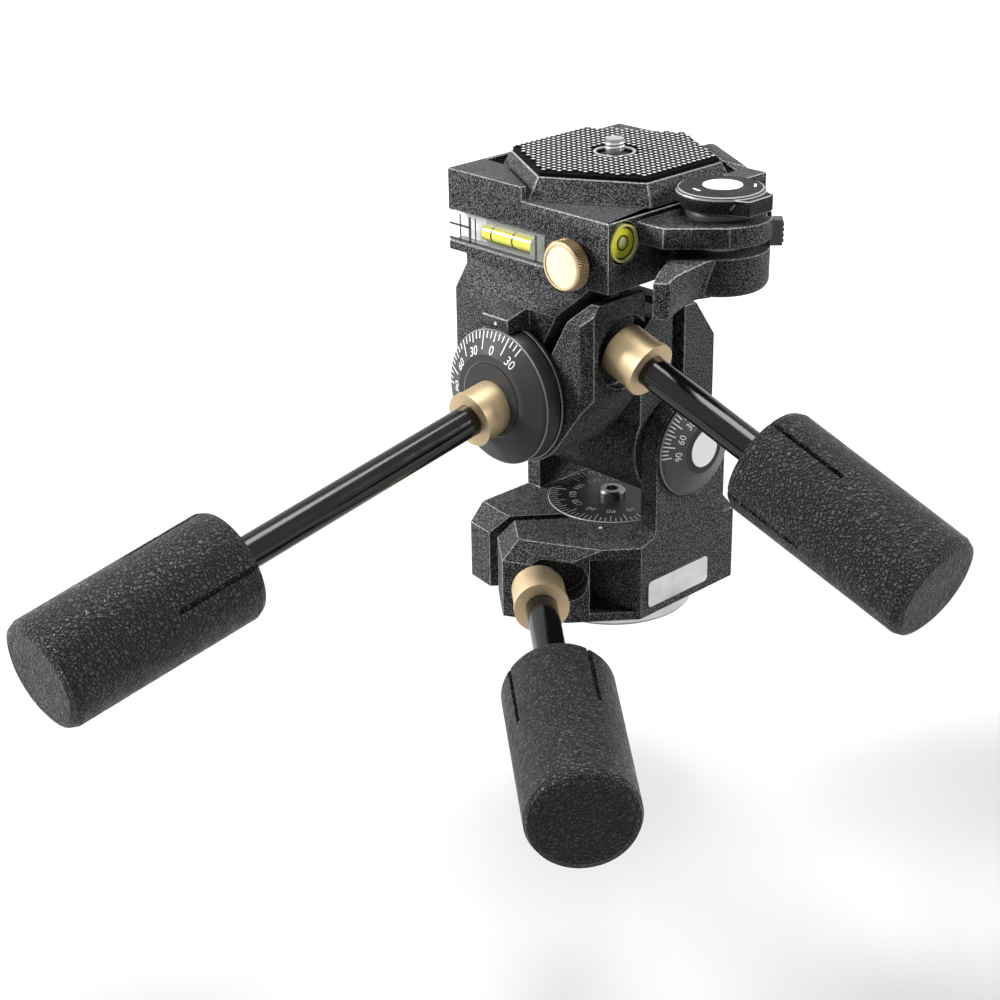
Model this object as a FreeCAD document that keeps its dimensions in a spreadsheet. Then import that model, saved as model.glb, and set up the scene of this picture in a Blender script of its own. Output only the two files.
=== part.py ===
import FreeCAD, Part

import math
import os
from collections import namedtuple

import Sketcher

# Three way pan and tilt head.  Millimetres, +Z up along the pan axis, origin at the
# mouth of the tripod thread, -Y towards the photographer, +X to the photographer's right.
SIZES = {
    # clearances
    "running_gap": 0.05,
    "face_gap": 0.1,
    "piece_gap": 0.3,
    # tripod base and pan spindle
    "base_radius": 30.0,
    "base_height": 9.0,
    "base_chamfer": 0.8,
    "thread_radius": 4.76,
    "thread_depth": 12.0,
    "hub_radius": 18.0,
    "hub_height": 4.0,
    "spindle_radius": 20.0,
    "washer_thickness": 1.4,
    "washer_radius": 27.5,
    "pan_disc_radius": 23.6,
    "pan_disc_thickness": 1.2,
    "pan_screw_radius": 3.0,
    "pan_screw_length": 12.0,
    "pan_screw_head_radius": 5.0,
    "pan_screw_head_height": 3.0,
    "hex_socket": 5.0,
    "hex_socket_depth": 2.0,
    # lower casting
    "deck_top": 38.4,
    "scale_recess_floor": 37.2,
    "right_side_x": 38.0,
    "left_side_x": -31.0,
    "nose_side_y": -25.4,
    "nose_x": 21.5,
    "nose_y": -45.5,
    "ear_bend_x": 14.5,
    "ear_bend_y": -50.6,
    "ear_tip_x": 1.2,
    "ear_tip_y": -57.4,
    "ear_end_x": -14.4,
    "ear_end_y": -44.8,
    "rear_ear_x": -20.0,
    "rear_ear_y": -44.4,
    "rear_ear_side_y": -42.5,
    "back_side_y": 24.0,
    "back_corner_x": 22.0,
    "back_y": 33.0,
    "ear_chamfer": 6.2,
    "casting_edge_radius": 1.2,
    "clamp_azimuth": -39.5,
    "nose_face": 45.5,
    "pan_slit_near": 13.6,
    "pan_slit_width": 3.8,
    "pan_slit_start": 10.0,
    "pan_slit_end": 62.0,
    "web_recess_floor": 13.7,
    "web_recess_top": 34.5,
    "web_recess_depth": 12.0,
    "web_recess_right": 3.6,
    "web_recess_left": -13.5,
    "core_slot_right": -14.0,
    "core_slot_left": -36.0,
    "core_slot_z": 26.5,
    "core_slot_height": 15.0,
    "core_slot_depth": 9.0,
    # cheeks and front tilt axis
    "tilt_z": 70.0,
    "right_cheek_inner_x": 30.5,
    "right_cheek_radius": 18.0,
    "right_cheek_foot_z": 40.6,
    "right_cheek_fillet": 3.0,
    "left_cheek_inner_x": -24.5,
    "left_cheek_radius": 13.0,
    "trunnion_radius": 9.0,
    "trunnion_inner_x": 20.0,
    "trunnion_flange_radius": 11.5,
    "trunnion_flange_thickness": 2.2,
    "journal_radius": 11.0,
    "plate_thickness": 0.6,
    "plate_front_y": -22.0,
    "plate_back_y": 9.5,
    "plate_bottom_z": 14.0,
    "plate_top_z": 24.0,
    "plate_corner": 1.6,
    "dial_radius": 18.0,
    "dial_rim": 1.2,
    "dial_height": 5.2,
    "dial_face_radius": 9.0,
    "dial_cap_radius": 6.6,
    "dial_cap_recess": 0.8,
    "dial_screw_radius": 3.0,
    "dial_screw_length": 13.0,
    # middle casting
    "middle_left_x": -24.0,
    "middle_right_x": 30.0,
    "middle_hub_radius": 20.8,
    "middle_front_y": -18.0,
    "middle_back_y": 20.0,
    "middle_top_z": 118.0,
    "lug_chamfer_y": 10.0,
    "lug_chamfer_z": 14.0,
    "front_lug_chamfer": 5.0,
    "tilt_slit_front_y": -2.0,
    "tilt_slit_back_y": 4.0,
    # lateral tilt axis
    "lateral_z": 93.5,
    "shaft_radius": 15.0,
    "shaft_bore_radius": 9.2,
    "shaft_neck_radius": 12.8,
    "shaft_nose_radius": 12.0,
    "shaft_spigot_radius": 10.9,
    "shaft_spigot_length": 6.0,
    "lateral_washer_radius": 24.3,
    "lateral_washer_thickness": 1.9,
    "lateral_disc_radius": 23.8,
    "lateral_disc_face_radius": 15.7,
    "lateral_disc_rim_width": 6.2,
    "lateral_disc_thickness": 9.7,
    "lateral_disc_recess_radius": 12.9,
    "lateral_disc_recess_depth": 5.9,
    # platform casting
    "drum_radius": 25.2,
    "clamp_front_y": -48.5,
    "drum_back_y": -21.3,
    "body_left_x": -29.4,
    "body_right_x": 34.5,
    "body_left_z": 99.0,
    "body_right_z": 98.0,
    "body_foot_z": 80.1,
    "drum_foot_half_width": 21.3,
    "shoulder_z": 124.0,
    "shoulder_top_z": 131.5,
    "face_step_depth": 1.1,
    "slab_side_margin": 2.0,
    "slab_end_margin": 1.5,
    "slab_bottom_z": 134.7,
    "slab_top_z": 158.5,
    "slab_corner": 1.5,
    "rail_top_z": 163.4,
    "rail_bend_x": -26.8,
    "rail_bend_rise": 0.6,
    "rail_end_x": -1.6,
    "far_rail_x": 25.0,
    "far_rail_start_x": 6.0,
    "far_rail_overhang": 7.6,
    "far_rail_side_y": 26.2,
    "far_rail_back_x": 36.0,
    "far_rail_back_y": 33.0,
    "jaw_bevel_across": 3.8,
    "jaw_bevel_depth": 2.6,
    "jaw_top_z": 130.5,
    "jaw_recess_radius": 12.6,
    "jaw_recess_x": 29.6,
    "slit_foot_left_x": 5.8,
    "slit_foot_right_x": 11.8,
    "slit_foot_z": 101.5,
    "slit_knee_left_x": 18.5,
    "slit_knee_right_x": 24.5,
    "slit_top_left_x": 29.0,
    "slit_top_right_x": 30.8,
    "pointer_left_x": -6.4,
    "pointer_right_x": 6.0,
    "pointer_front_y": -57.6,
    "pointer_top_z": 122.3,
    "pointer_root_z": 124.6,
    "lobe_bottom_z": 149.5,
    "lobe_top_z": 156.5,
    "lobe_radius": 17.3,
    "lobe_front_x": -2.0,
    "lobe_front_y": -25.5,
    "lobe_side_x": 13.5,
    "lobe_side_y": -11.0,
    "lobe_back_x": 9.0,
    "lobe_back_y": 15.0,
    # levels and thumb screw
    "level_right_x": 9.0,
    "level_bottom_z": 138.0,
    "level_top_z": 149.0,
    "level_depth": 6.0,
    "level_side_gap": 0.15,
    "vial_radius": 3.1,
    "vial_left_x": -21.5,
    "vial_right_x": 2.0,
    "round_level_y": -36.0,
    "round_level_z": 150.8,
    "round_level_radius": 7.0,
    "round_level_depth": 5.5,
    "round_level_stand": 0.7,
    "round_lens_radius": 5.6,
    "round_lens_depth": 2.5,
    "round_lens_dome": 0.6,
    "thumb_x": 23.0,
    "thumb_z": 142.7,
    "thumb_radius": 8.3,
    "thumb_rim_width": 5.4,
    "thumb_neck_radius": 6.2,
    "thumb_neck_length": 1.2,
    "thumb_shank_radius": 2.5,
    "thumb_shank_length": 11.0,
    "thumb_edge": 0.6,
    "thumb_dish_radius": 7.0,
    "thumb_dish_depth": 0.4,
    # quick release lever
    "pivot_from_plate": 15.06,
    "pivot_y": -4.0,
    "post_radius": 5.0,
    "post_flange_radius": 11.5,
    "lever_bottom_z": 132.5,
    "lever_top_z": 146.0,
    "lever_hub_radius": 16.6,
    "lever_hub_round": 3.0,
    "lever_root_out_x": 12.0,
    "lever_root_out_y": 0.0,
    "lever_root_in_x": -9.0,
    "lever_root_in_y": -8.0,
    "lever_waist_out_x": 4.2,
    "lever_waist_out_y": -17.0,
    "lever_waist_lean": 5.0,
    "lever_waist_in_x": 0.3,
    "lever_waist_in_y": -26.0,
    "lever_waist_out_round": 22.0,
    "lever_waist_in_round": 30.0,
    "lever_tip_out_x": 12.8,
    "lever_tip_out_y": -39.4,
    "lever_tip_in_x": 7.9,
    "lever_tip_in_y": -41.2,
    "lever_tip_top_z": 144.0,
    "lever_slope_y": -34.0,
    "lever_edge": 0.8,
    "hub_recess_gap": 0.8,
    "spring_radius": 8.0,
    "cap_bottom_z": 159.5,
    "cap_top_z": 165.6,
    "cap_radius": 14.7,
    "cap_foot_radius": 13.0,
    "cap_brim": 2.4,
    "cap_lobe_radius": 17.0,
    "cap_lobe_half_width": 6.0,
    "cap_edge": 0.8,
    "catch_azimuth": 43.0,
    "catch_start": 15.5,
    "catch_end": 20.4,
    "catch_width": 5.0,
    "catch_bottom_z": 146.4,
    "catch_top_z": 155.0,
    # camera plate
    "plate_base_radius": 41.5,
    "plate_rim_radius": 36.9,
    "plate_rim_z": 165.9,
    "pad_top_z": 167.2,
    "pad_inset": 0.8,
    "rail_gap": 0.4,
    "camera_screw_radius": 3.175,
    "camera_screw_rise": 5.0,
    "camera_screw_neck_radius": 2.5,
    "camera_screw_head_radius": 7.0,
    "camera_screw_head_height": 3.0,
    "camera_screw_slot_width": 1.4,
    "camera_screw_slot_depth": 1.2,
    # handles
    "collar_radius": 9.3,
    "collar_lip_radius": 9.7,
    "collar_lip_length": 1.8,
    "collar_length": 13.5,
    "collar_socket": 8.0,
    "rod_radius": 5.55,
    "rod_in_grip": 22.0,
    "grip_inner_radius": 18.7,
    "grip_outer_radius": 18.0,
    "grip_length": 71.0,
    "grip_bevel": 3.0,
    "grip_bevel_step": 0.9,
    "groove_count": 4.0,
    "groove_width": 1.7,
    "groove_depth": 1.3,
    "groove_length": 31.0,
    "groove_first_angle": 20.0,
    "clamp_screw_radius": 3.0,
    "clamp_screw_grip": 4.5,
    "spot_face_radius": 10.4,
    "pan_root_x": 15.1,
    "pan_root_y": -53.2,
    "pan_root_z": 23.1,
    "pan_azimuth": -38.9,
    "pan_dip_angle": 4.65,
    "pan_collar_end": 10.3,
    "pan_grip_start": 59.0,
    "pan_screw_reach": 41.0,
    "tilt_root_y": -57.0,
    "tilt_root_z": 91.3,
    "tilt_azimuth": -90.0,
    "tilt_dip_angle": 10.14,
    "tilt_collar_end": 13.5,
    "tilt_grip_start": 116.0,
    "tilt_screw_reach": 74.0,
    "lateral_root_x": 36.0,
    "lateral_root_y": -31.0,
    "lateral_root_z": 111.5,
    "lateral_azimuth": 0.0,
    "lateral_dip_angle": 19.1,
    "lateral_collar_end": 10.6,
    "lateral_grip_start": 62.5,
    "lateral_screw_reach": 30.0,
}

DOCUMENT = FreeCAD.newDocument("ThreeWayHead")
SHEET = DOCUMENT.addObject("Spreadsheet::Sheet", "Sizes")
for row, (name, number) in enumerate(SIZES.items(), start=1):
    SHEET.set(f"A{row}", name)
    SHEET.set(f"B{row}", str(number))
    SHEET.setAlias(f"B{row}", name)
DOCUMENT.recompute()

Circle = namedtuple("Circle", "across up radius")
PIECES = []
UP = FreeCAD.Vector(0, 0, 1)
ORIGIN_GEOMETRY = -1
START, END, CENTRE = 1, 2, 3
OVERRUN = 1.0
TOUCHING = 1e-4
FULL_TURN = 360.0
QUARTER_TURN = 90.0
HEX_SIDES = 6
SIXTH_TURN = FULL_TURN / HEX_SIDES
FORMULA_DIGITS = 9


def direction(angle):
    """Across and up parts of a direction, short enough to stand in a formula."""
    turn = math.radians(angle)
    return round(math.cos(turn), FORMULA_DIGITS), round(math.sin(turn), FORMULA_DIGITS)


HEX_FLAT_RATIO = direction(SIXTH_TURN / 2)[0]


class Size:
    """A number together with the spreadsheet formula that it comes from."""

    def __init__(self, number, formula):
        self.number = float(number)
        self.formula = formula

    def joined(self, other, sign, number):
        return Size(number, f"({self.formula} {sign} {as_size(other).formula})")

    def __add__(self, other):
        return self.joined(other, "+", self.number + as_size(other).number)

    def __sub__(self, other):
        return self.joined(other, "-", self.number - as_size(other).number)

    def __mul__(self, other):
        return self.joined(other, "*", self.number * as_size(other).number)

    def __truediv__(self, other):
        return self.joined(other, "/", self.number / as_size(other).number)

    def __neg__(self):
        return Size(-self.number, f"(-1 * {self.formula})")

    def __radd__(self, other):
        return as_size(other) + self

    def __rsub__(self, other):
        return as_size(other) - self

    def __rmul__(self, other):
        return as_size(other) * self


class SizeTable:
    """Gives each named cell of the sheet as a Size."""

    def __getattr__(self, alias):
        return Size(SHEET.get(alias), "Sizes." + alias)


def as_size(value):
    return value if isinstance(value, Size) else Size(value, f"({float(value)})")


def bind(item, prop, size):
    item.setExpression(prop, as_size(size).formula)


def point(*sizes):
    return FreeCAD.Vector(*[as_size(size).number for size in sizes])


# ---------------------------------------------------------------- sketches

def hold_point(sketch, geometry, end, across, up):
    """Fixes one point of a sketch by its two distances from the sketch's origin."""
    for kind, size in (("DistanceX", across), ("DistanceY", up)):
        index = sketch.addConstraint(
            Sketcher.Constraint(kind, ORIGIN_GEOMETRY, 1, geometry, end, as_size(size).number))
        bind(sketch, f"Constraints[{index}]", size)


def draw_circle(sketch, circle):
    centre = point(circle.across, circle.up, 0)
    index = sketch.addGeometry(Part.Circle(centre, UP, as_size(circle.radius).number), False)
    hold_point(sketch, index, CENTRE, circle.across, circle.up)
    radius = sketch.addConstraint(
        Sketcher.Constraint("Radius", index, as_size(circle.radius).number))
    bind(sketch, f"Constraints[{radius}]", circle.radius)


def rounded_corner(before, corner, after, radius):
    """End points, centre and turn of the arc that rounds one corner of an outline."""
    back = (before - corner).normalize()
    ahead = (after - corner).normalize()
    half_angle = back.getAngle(ahead) / 2
    reach = radius / math.tan(half_angle)
    bisector = (back + ahead).normalize()
    centre = corner + bisector * (radius / math.sin(half_angle))
    left_turn = back.cross(ahead).z < 0
    return corner + back * reach, corner + ahead * reach, centre, left_turn


def draw_outline(sketch, corners):
    """Closed outline; a corner given with a third value is rounded to that radius."""
    places = [point(corner[0], corner[1], 0) for corner in corners]
    count = len(corners)
    arcs = {}
    for index, corner in enumerate(corners):
        if len(corner) > 2:
            arcs[index] = rounded_corner(places[index - 1], places[index],
                                         places[(index + 1) % count], as_size(corner[2]).number)
    lines = []
    for index in range(count):
        following = (index + 1) % count
        start = arcs[index][1] if index in arcs else places[index]
        end = arcs[following][0] if following in arcs else places[following]
        lines.append(sketch.addGeometry(Part.LineSegment(start, end), False))
    for index, corner in enumerate(corners):
        line_in, line_out = lines[index - 1], lines[index]
        if index not in arcs:
            sketch.addConstraint(Sketcher.Constraint("Coincident", line_in, END, line_out, START))
            hold_point(sketch, line_out, START, corner[0], corner[1])
            continue
        arc_in, arc_out, centre, left_turn = arcs[index]
        arc, first, last = corner_arc(sketch, centre, arc_in, arc_out, left_turn)
        sketch.addConstraint(Sketcher.Constraint("Tangent", line_in, END, arc, first))
        sketch.addConstraint(Sketcher.Constraint("Tangent", arc, last, line_out, START))
        mark = sketch.addGeometry(Part.Point(places[index]), True)
        sketch.addConstraint(Sketcher.Constraint("PointOnObject", mark, START, line_in))
        sketch.addConstraint(Sketcher.Constraint("PointOnObject", mark, START, line_out))
        hold_point(sketch, mark, START, corner[0], corner[1])
        radius = sketch.addConstraint(
            Sketcher.Constraint("Radius", arc, as_size(corner[2]).number))
        bind(sketch, f"Constraints[{radius}]", corner[2])


def corner_arc(sketch, centre, arc_in, arc_out, left_turn):
    """Adds a corner's arc and says which of its ends comes first along the outline."""
    start, end = (arc_in, arc_out) if left_turn else (arc_out, arc_in)
    start_angle = math.atan2(start.y - centre.y, start.x - centre.x)
    end_angle = math.atan2(end.y - centre.y, end.x - centre.x)
    circle = Part.Circle(centre, UP, (start - centre).Length)
    arc = sketch.addGeometry(Part.ArcOfCircle(circle, start_angle, end_angle), False)
    return (arc, START, END) if left_turn else (arc, END, START)


def draw(sketch, loops):
    for loop in loops:
        if isinstance(loop, Circle):
            draw_circle(sketch, loop)
        else:
            draw_outline(sketch, loop)


def box_outline(low_across, low_up, high_across, high_up, radius=None):
    corners = [(low_across, low_up), (high_across, low_up),
               (high_across, high_up), (low_across, high_up)]
    return [corner + (radius,) for corner in corners] if radius else corners


# ---------------------------------------------------------------- features

def new_piece(label, placement=None):
    body = DOCUMENT.addObject("PartDesign::Body", label)
    body.Label = label
    body.Placement = placement or FreeCAD.Placement()
    PIECES.append(body)
    return body


def sketch_on(body, name, plane, offset, turn=0):
    origin_plane = next(item for item in body.Origin.OriginFeatures
                        if item.Role == plane + "_Plane")
    sketch = body.newObject("Sketcher::SketchObject", name)
    sketch.AttachmentSupport = [(origin_plane, "")]
    sketch.MapMode = "FlatFace"
    sketch.AttachmentOffset = FreeCAD.Placement(
        point(0, 0, offset), FreeCAD.Rotation(UP, as_size(turn).number))
    bind(sketch, "AttachmentOffset.Base.z", offset)
    return sketch


def extrude(body, name, plane, low, high, loops, cut=False, turn=0):
    """Adds or cuts the loops between two heights along the plane's world axis."""
    start = -as_size(high) if plane == "XZ" else low
    sketch = sketch_on(body, name + "Outline", plane, start, turn)
    draw(sketch, loops)
    feature = body.newObject("PartDesign::Pocket" if cut else "PartDesign::Pad", name)
    feature.Profile = sketch
    feature.Reversed = cut
    bind(feature, "Length", as_size(high) - low)
    return feature


def cut_from(body, name, frame, depth, loops):
    """Cuts the loops from a free plane, against that plane's normal."""
    sketch = sketch_on(body, name + "Outline", "XY", 0)
    sketch.setExpression("AttachmentOffset.Base.z", None)
    sketch.AttachmentOffset = frame
    draw(sketch, loops)
    feature = body.newObject("PartDesign::Pocket", name)
    feature.Profile = sketch
    bind(feature, "Length", depth)
    return feature


def turn_profile(body, name, profile):
    """Turns a profile of (radius, height) corners about the body's own Z axis."""
    sketch = sketch_on(body, name + "Outline", "XZ", 0)
    draw(sketch, [profile])
    feature = body.newObject("PartDesign::Revolution", name)
    feature.Profile = sketch
    feature.ReferenceAxis = (sketch, ["V_Axis"])
    feature.Angle = FULL_TURN
    return feature


def edges_through(feature, points):
    """Names of the edges that pass through the given points."""
    DOCUMENT.recompute()
    vertices = [Part.Vertex(place) for place in points]
    return [f"Edge{number}" for number, edge in enumerate(feature.Shape.Edges, start=1)
            if any(edge.distToShape(vertex)[0] < TOUCHING for vertex in vertices)]


def chamfer(body, name, base, size, points):
    """Chamfers the edges of a feature that pass through the points."""
    feature = body.newObject("PartDesign::Chamfer", name)
    feature.Base = (base, edges_through(base, points))
    bind(feature, "Size", size)
    return feature


def turned_piece(label, profile, placement=None):
    body = new_piece(label, placement)
    turn_profile(body, label + "Turned", profile)
    return body


# ---------------------------------------------------------------- frames

def handle_frame(root, azimuth, dip):
    """Frame at a handle's root with +Z out along the handle."""
    heading = math.radians(azimuth.number)
    axis = FreeCAD.Vector(-math.sin(heading), math.cos(heading), 0)
    return FreeCAD.Placement(root, FreeCAD.Rotation(axis, QUARTER_TURN + dip.number))


def moved_out(frame, distance):
    return frame.multiply(FreeCAD.Placement(point(0, 0, distance), FreeCAD.Rotation()))


def facing_frame(azimuth, distance):
    """Upright frame whose +Z looks out at an azimuth, with +X to its right and +Y up."""
    heading = math.radians(azimuth.number)
    outward = FreeCAD.Vector(math.cos(heading), math.sin(heading), 0)
    across = UP.cross(outward)
    return FreeCAD.Placement(outward * as_size(distance).number,
                             FreeCAD.Rotation(across, UP, outward, "ZXY"))


S = SizeTable()
CASTING_BOTTOM = S.base_height + S.washer_thickness + S.face_gap
SPINDLE_TOP = S.scale_recess_floor + S.piece_gap
TOWARD_FRONT = FreeCAD.Rotation(FreeCAD.Vector(1, 0, 0), 90)
TOWARD_RIGHT = FreeCAD.Rotation(FreeCAD.Vector(0, 1, 0), 90)
PAN_FRAME = handle_frame(point(S.pan_root_x, S.pan_root_y, S.pan_root_z),
                         S.pan_azimuth, S.pan_dip_angle)
TILT_FRAME = handle_frame(point(0, S.tilt_root_y, S.tilt_root_z), S.tilt_azimuth, S.tilt_dip_angle)
LATERAL_FRAME = handle_frame(point(S.lateral_root_x, S.lateral_root_y, S.lateral_root_z),
                             S.lateral_azimuth, S.lateral_dip_angle)
LATERAL_AXIS = FreeCAD.Placement(point(0, 0, S.lateral_z), TOWARD_FRONT)
TILT_AXIS = FreeCAD.Placement(point(0, 0, S.tilt_z), TOWARD_RIGHT)
PLATE_FLAT = S.plate_base_radius * HEX_FLAT_RATIO
SLAB_HALF_DEPTH = S.plate_base_radius + S.slab_end_margin
SLAB_HALF_WIDTH = PLATE_FLAT + S.slab_side_margin
PIVOT_X = PLATE_FLAT + S.pivot_from_plate
PIVOT = FreeCAD.Placement(point(PIVOT_X, S.pivot_y, 0), FreeCAD.Rotation())
WASHER_BACK = S.face_gap - S.clamp_front_y
DISC_BACK = WASHER_BACK + S.lateral_washer_thickness + S.face_gap
SCREW_HOLE = S.clamp_screw_radius + S.running_gap


# ---------------------------------------------------------------- tripod base

def make_base_plate():
    """Aluminium base disc with the blind tripod thread in its hub."""
    hub_top = S.base_height + S.hub_height
    turned_piece("base_plate", [
        (S.thread_radius, 0), (S.base_radius - S.base_chamfer, 0),
        (S.base_radius, S.base_chamfer), (S.base_radius, S.base_height - S.base_chamfer),
        (S.base_radius - S.base_chamfer, S.base_height), (S.hub_radius, S.base_height),
        (S.hub_radius, hub_top), (0, hub_top), (0, S.thread_depth),
        (S.thread_radius, S.thread_depth)])


def make_pan_spindle():
    """Drum that the lower casting clamps, standing on the base plate's hub."""
    bottom = S.base_height + S.hub_height
    hole = S.pan_screw_radius + S.running_gap
    hole_bottom = SPINDLE_TOP - S.pan_screw_length - S.piece_gap
    turned_piece("pan_spindle", [
        (0, bottom), (S.spindle_radius, bottom), (S.spindle_radius, SPINDLE_TOP),
        (hole, SPINDLE_TOP), (hole, hole_bottom), (0, hole_bottom)])


def make_thrust_washer():
    turned_piece("thrust_washer", [
        (S.spindle_radius + S.piece_gap, S.base_height), (S.washer_radius, S.base_height),
        (S.washer_radius, S.base_height + S.washer_thickness),
        (S.spindle_radius + S.piece_gap, S.base_height + S.washer_thickness)])


def make_pan_scale_disc():
    top = SPINDLE_TOP + S.pan_disc_thickness
    hole = S.pan_screw_radius + S.running_gap
    turned_piece("pan_scale_disc", [
        (hole, SPINDLE_TOP), (S.pan_disc_radius, SPINDLE_TOP), (S.pan_disc_radius, top),
        (hole, top)])


def make_spindle_screw():
    """Socket head screw that holds the pan scale on the spindle."""
    seat = SPINDLE_TOP + S.pan_disc_thickness
    top = seat + S.pan_screw_head_height
    body = turned_piece("spindle_screw", [
        (0, SPINDLE_TOP - S.pan_screw_length), (S.pan_screw_radius, SPINDLE_TOP - S.pan_screw_length),
        (S.pan_screw_radius, seat), (S.pan_screw_head_radius, seat),
        (S.pan_screw_head_radius, top - S.base_chamfer),
        (S.pan_screw_head_radius - S.base_chamfer, top), (0, top)])
    extrude(body, "ScrewSocket", "XY", top - S.hex_socket_depth, top + OVERRUN,
            [hexagon(S.hex_socket / 2)], cut=True)


def hexagon(radius, turn=0):
    """Six corners on a circle, the first one at the given angle."""
    corners = []
    for step in range(HEX_SIDES):
        across, up = direction(SIXTH_TURN * step + turn)
        corners.append((radius * across, radius * up))
    return corners


# ---------------------------------------------------------------- lower casting

def make_lower_casting():
    """Pan clamp with its two ears, and the fork that carries the front tilt axis."""
    body = new_piece("lower_casting")
    edge = S.casting_edge_radius
    ear = [(S.left_side_x, S.rear_ear_side_y), (S.rear_ear_x, S.rear_ear_y),
           (S.ear_end_x, S.ear_end_y), (S.ear_tip_x, S.ear_tip_y), (S.ear_bend_x, S.ear_bend_y)]
    deck = [(S.right_side_x, S.back_side_y, edge), (S.back_corner_x, S.back_y, edge),
            (-S.back_corner_x, S.back_y, edge), (S.left_side_x, S.back_side_y, edge),
            *ear, (S.nose_x, S.nose_y, edge), (S.right_side_x, S.nose_side_y, edge)]
    deck_pad = extrude(body, "Deck", "XY", CASTING_BOTTOM, S.deck_top, [deck])
    middles = [point((first[0] + last[0]) / 2, (first[1] + last[1]) / 2, S.deck_top)
               for first, last in zip(ear, ear[1:])]
    chamfer(body, "EarChamfers", deck_pad, S.ear_chamfer, middles)
    add_cheek(body, "RightCheek", S.right_cheek_inner_x, S.right_side_x, S.right_cheek_radius,
              [(S.nose_side_y, CASTING_BOTTOM), (S.right_cheek_radius, CASTING_BOTTOM),
               (S.right_cheek_radius, S.tilt_z), (-S.right_cheek_radius, S.tilt_z),
               (-S.right_cheek_radius, S.right_cheek_foot_z, S.right_cheek_fillet),
               (S.nose_side_y, S.deck_top)])
    add_cheek(body, "LeftCheek", S.left_side_x, S.left_cheek_inner_x, S.left_cheek_radius,
              box_outline(-S.left_cheek_radius, CASTING_BOTTOM, S.left_cheek_radius, S.tilt_z))
    cut_pan_clamp(body)
    cut_nose(body)


def add_cheek(body, name, low_x, high_x, radius, foot):
    """One upright of the fork: a foot and a round head about the tilt axis."""
    extrude(body, name, "YZ", low_x, high_x, [foot])
    extrude(body, name + "Head", "YZ", low_x, high_x, [Circle(0, S.tilt_z, radius)])


def cut_pan_clamp(body):
    """Bore for the spindle, seat of the pan scale, clamp slit and axle bores."""
    below = CASTING_BOTTOM - OVERRUN
    extrude(body, "PanBore", "XY", below, S.deck_top + OVERRUN,
            [Circle(0, 0, S.spindle_radius + S.running_gap)], cut=True)
    extrude(body, "PanScaleSeat", "XY", S.scale_recess_floor, S.deck_top + OVERRUN,
            [Circle(0, 0, S.pan_disc_radius + S.piece_gap)], cut=True)
    extrude(body, "PanSlit", "XY", below, S.deck_top + OVERRUN,
            [box_outline(S.pan_slit_near, -S.pan_slit_end,
                         S.pan_slit_near + S.pan_slit_width, -S.pan_slit_start)],
            cut=True, turn=S.clamp_azimuth)
    extrude(body, "JournalBore", "YZ", S.right_cheek_inner_x - OVERRUN, S.right_side_x + OVERRUN,
            [Circle(0, S.tilt_z, S.journal_radius + S.running_gap)], cut=True)
    extrude(body, "TrunnionBore", "YZ", S.left_side_x - OVERRUN, S.left_cheek_inner_x + OVERRUN,
            [Circle(0, S.tilt_z, S.trunnion_radius + S.running_gap)], cut=True)


def cut_nose(body):
    """Webbed relief, core slot, collar seat and clamp screw hole of the front ear."""
    outside = S.nose_face + OVERRUN
    extrude(body, "NoseRelief", "XY", S.web_recess_floor, S.web_recess_top,
            [[(S.nose_face, S.web_recess_right),
              (S.nose_face - S.web_recess_depth, S.web_recess_left),
              (outside, S.web_recess_left), (outside, S.web_recess_right)]],
            cut=True, turn=S.clamp_azimuth)
    half = S.core_slot_height / 2
    cut_from(body, "CoreSlot", facing_frame(S.clamp_azimuth, outside),
             S.core_slot_depth + OVERRUN,
             [box_outline(S.core_slot_left, S.core_slot_z - half, S.core_slot_right,
                          S.core_slot_z + half, half - TOUCHING)])
    seat = S.collar_length - S.pan_collar_end + S.piece_gap
    cut_from(body, "PanCollarSeat", moved_out(PAN_FRAME, S.collar_length),
             S.collar_length + seat, [Circle(0, 0, S.spot_face_radius)])
    cut_from(body, "PanScrewHole", PAN_FRAME, S.pan_screw_reach + S.piece_gap,
             [Circle(0, 0, SCREW_HOLE)])


def make_side_plate():
    """Bare rectangular plate on the outside of the right cheek."""
    body = new_piece("side_plate")
    extrude(body, "SidePlate", "YZ", S.right_side_x, S.right_side_x + S.plate_thickness,
            [box_outline(S.plate_front_y, S.plate_bottom_z, S.plate_back_y, S.plate_top_z,
                         S.plate_corner)])


# ---------------------------------------------------------------- front tilt axis

def make_tilt_trunnion():
    """Axle pressed in the left cheek, on which the middle casting is clamped."""
    flange = S.left_side_x - S.trunnion_flange_thickness
    turned_piece("tilt_trunnion", [
        (0, flange), (S.trunnion_flange_radius - S.base_chamfer, flange),
        (S.trunnion_flange_radius, flange + S.base_chamfer),
        (S.trunnion_flange_radius, S.left_side_x), (S.trunnion_radius, S.left_side_x),
        (S.trunnion_radius, S.trunnion_inner_x), (0, S.trunnion_inner_x)], TILT_AXIS)


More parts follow.
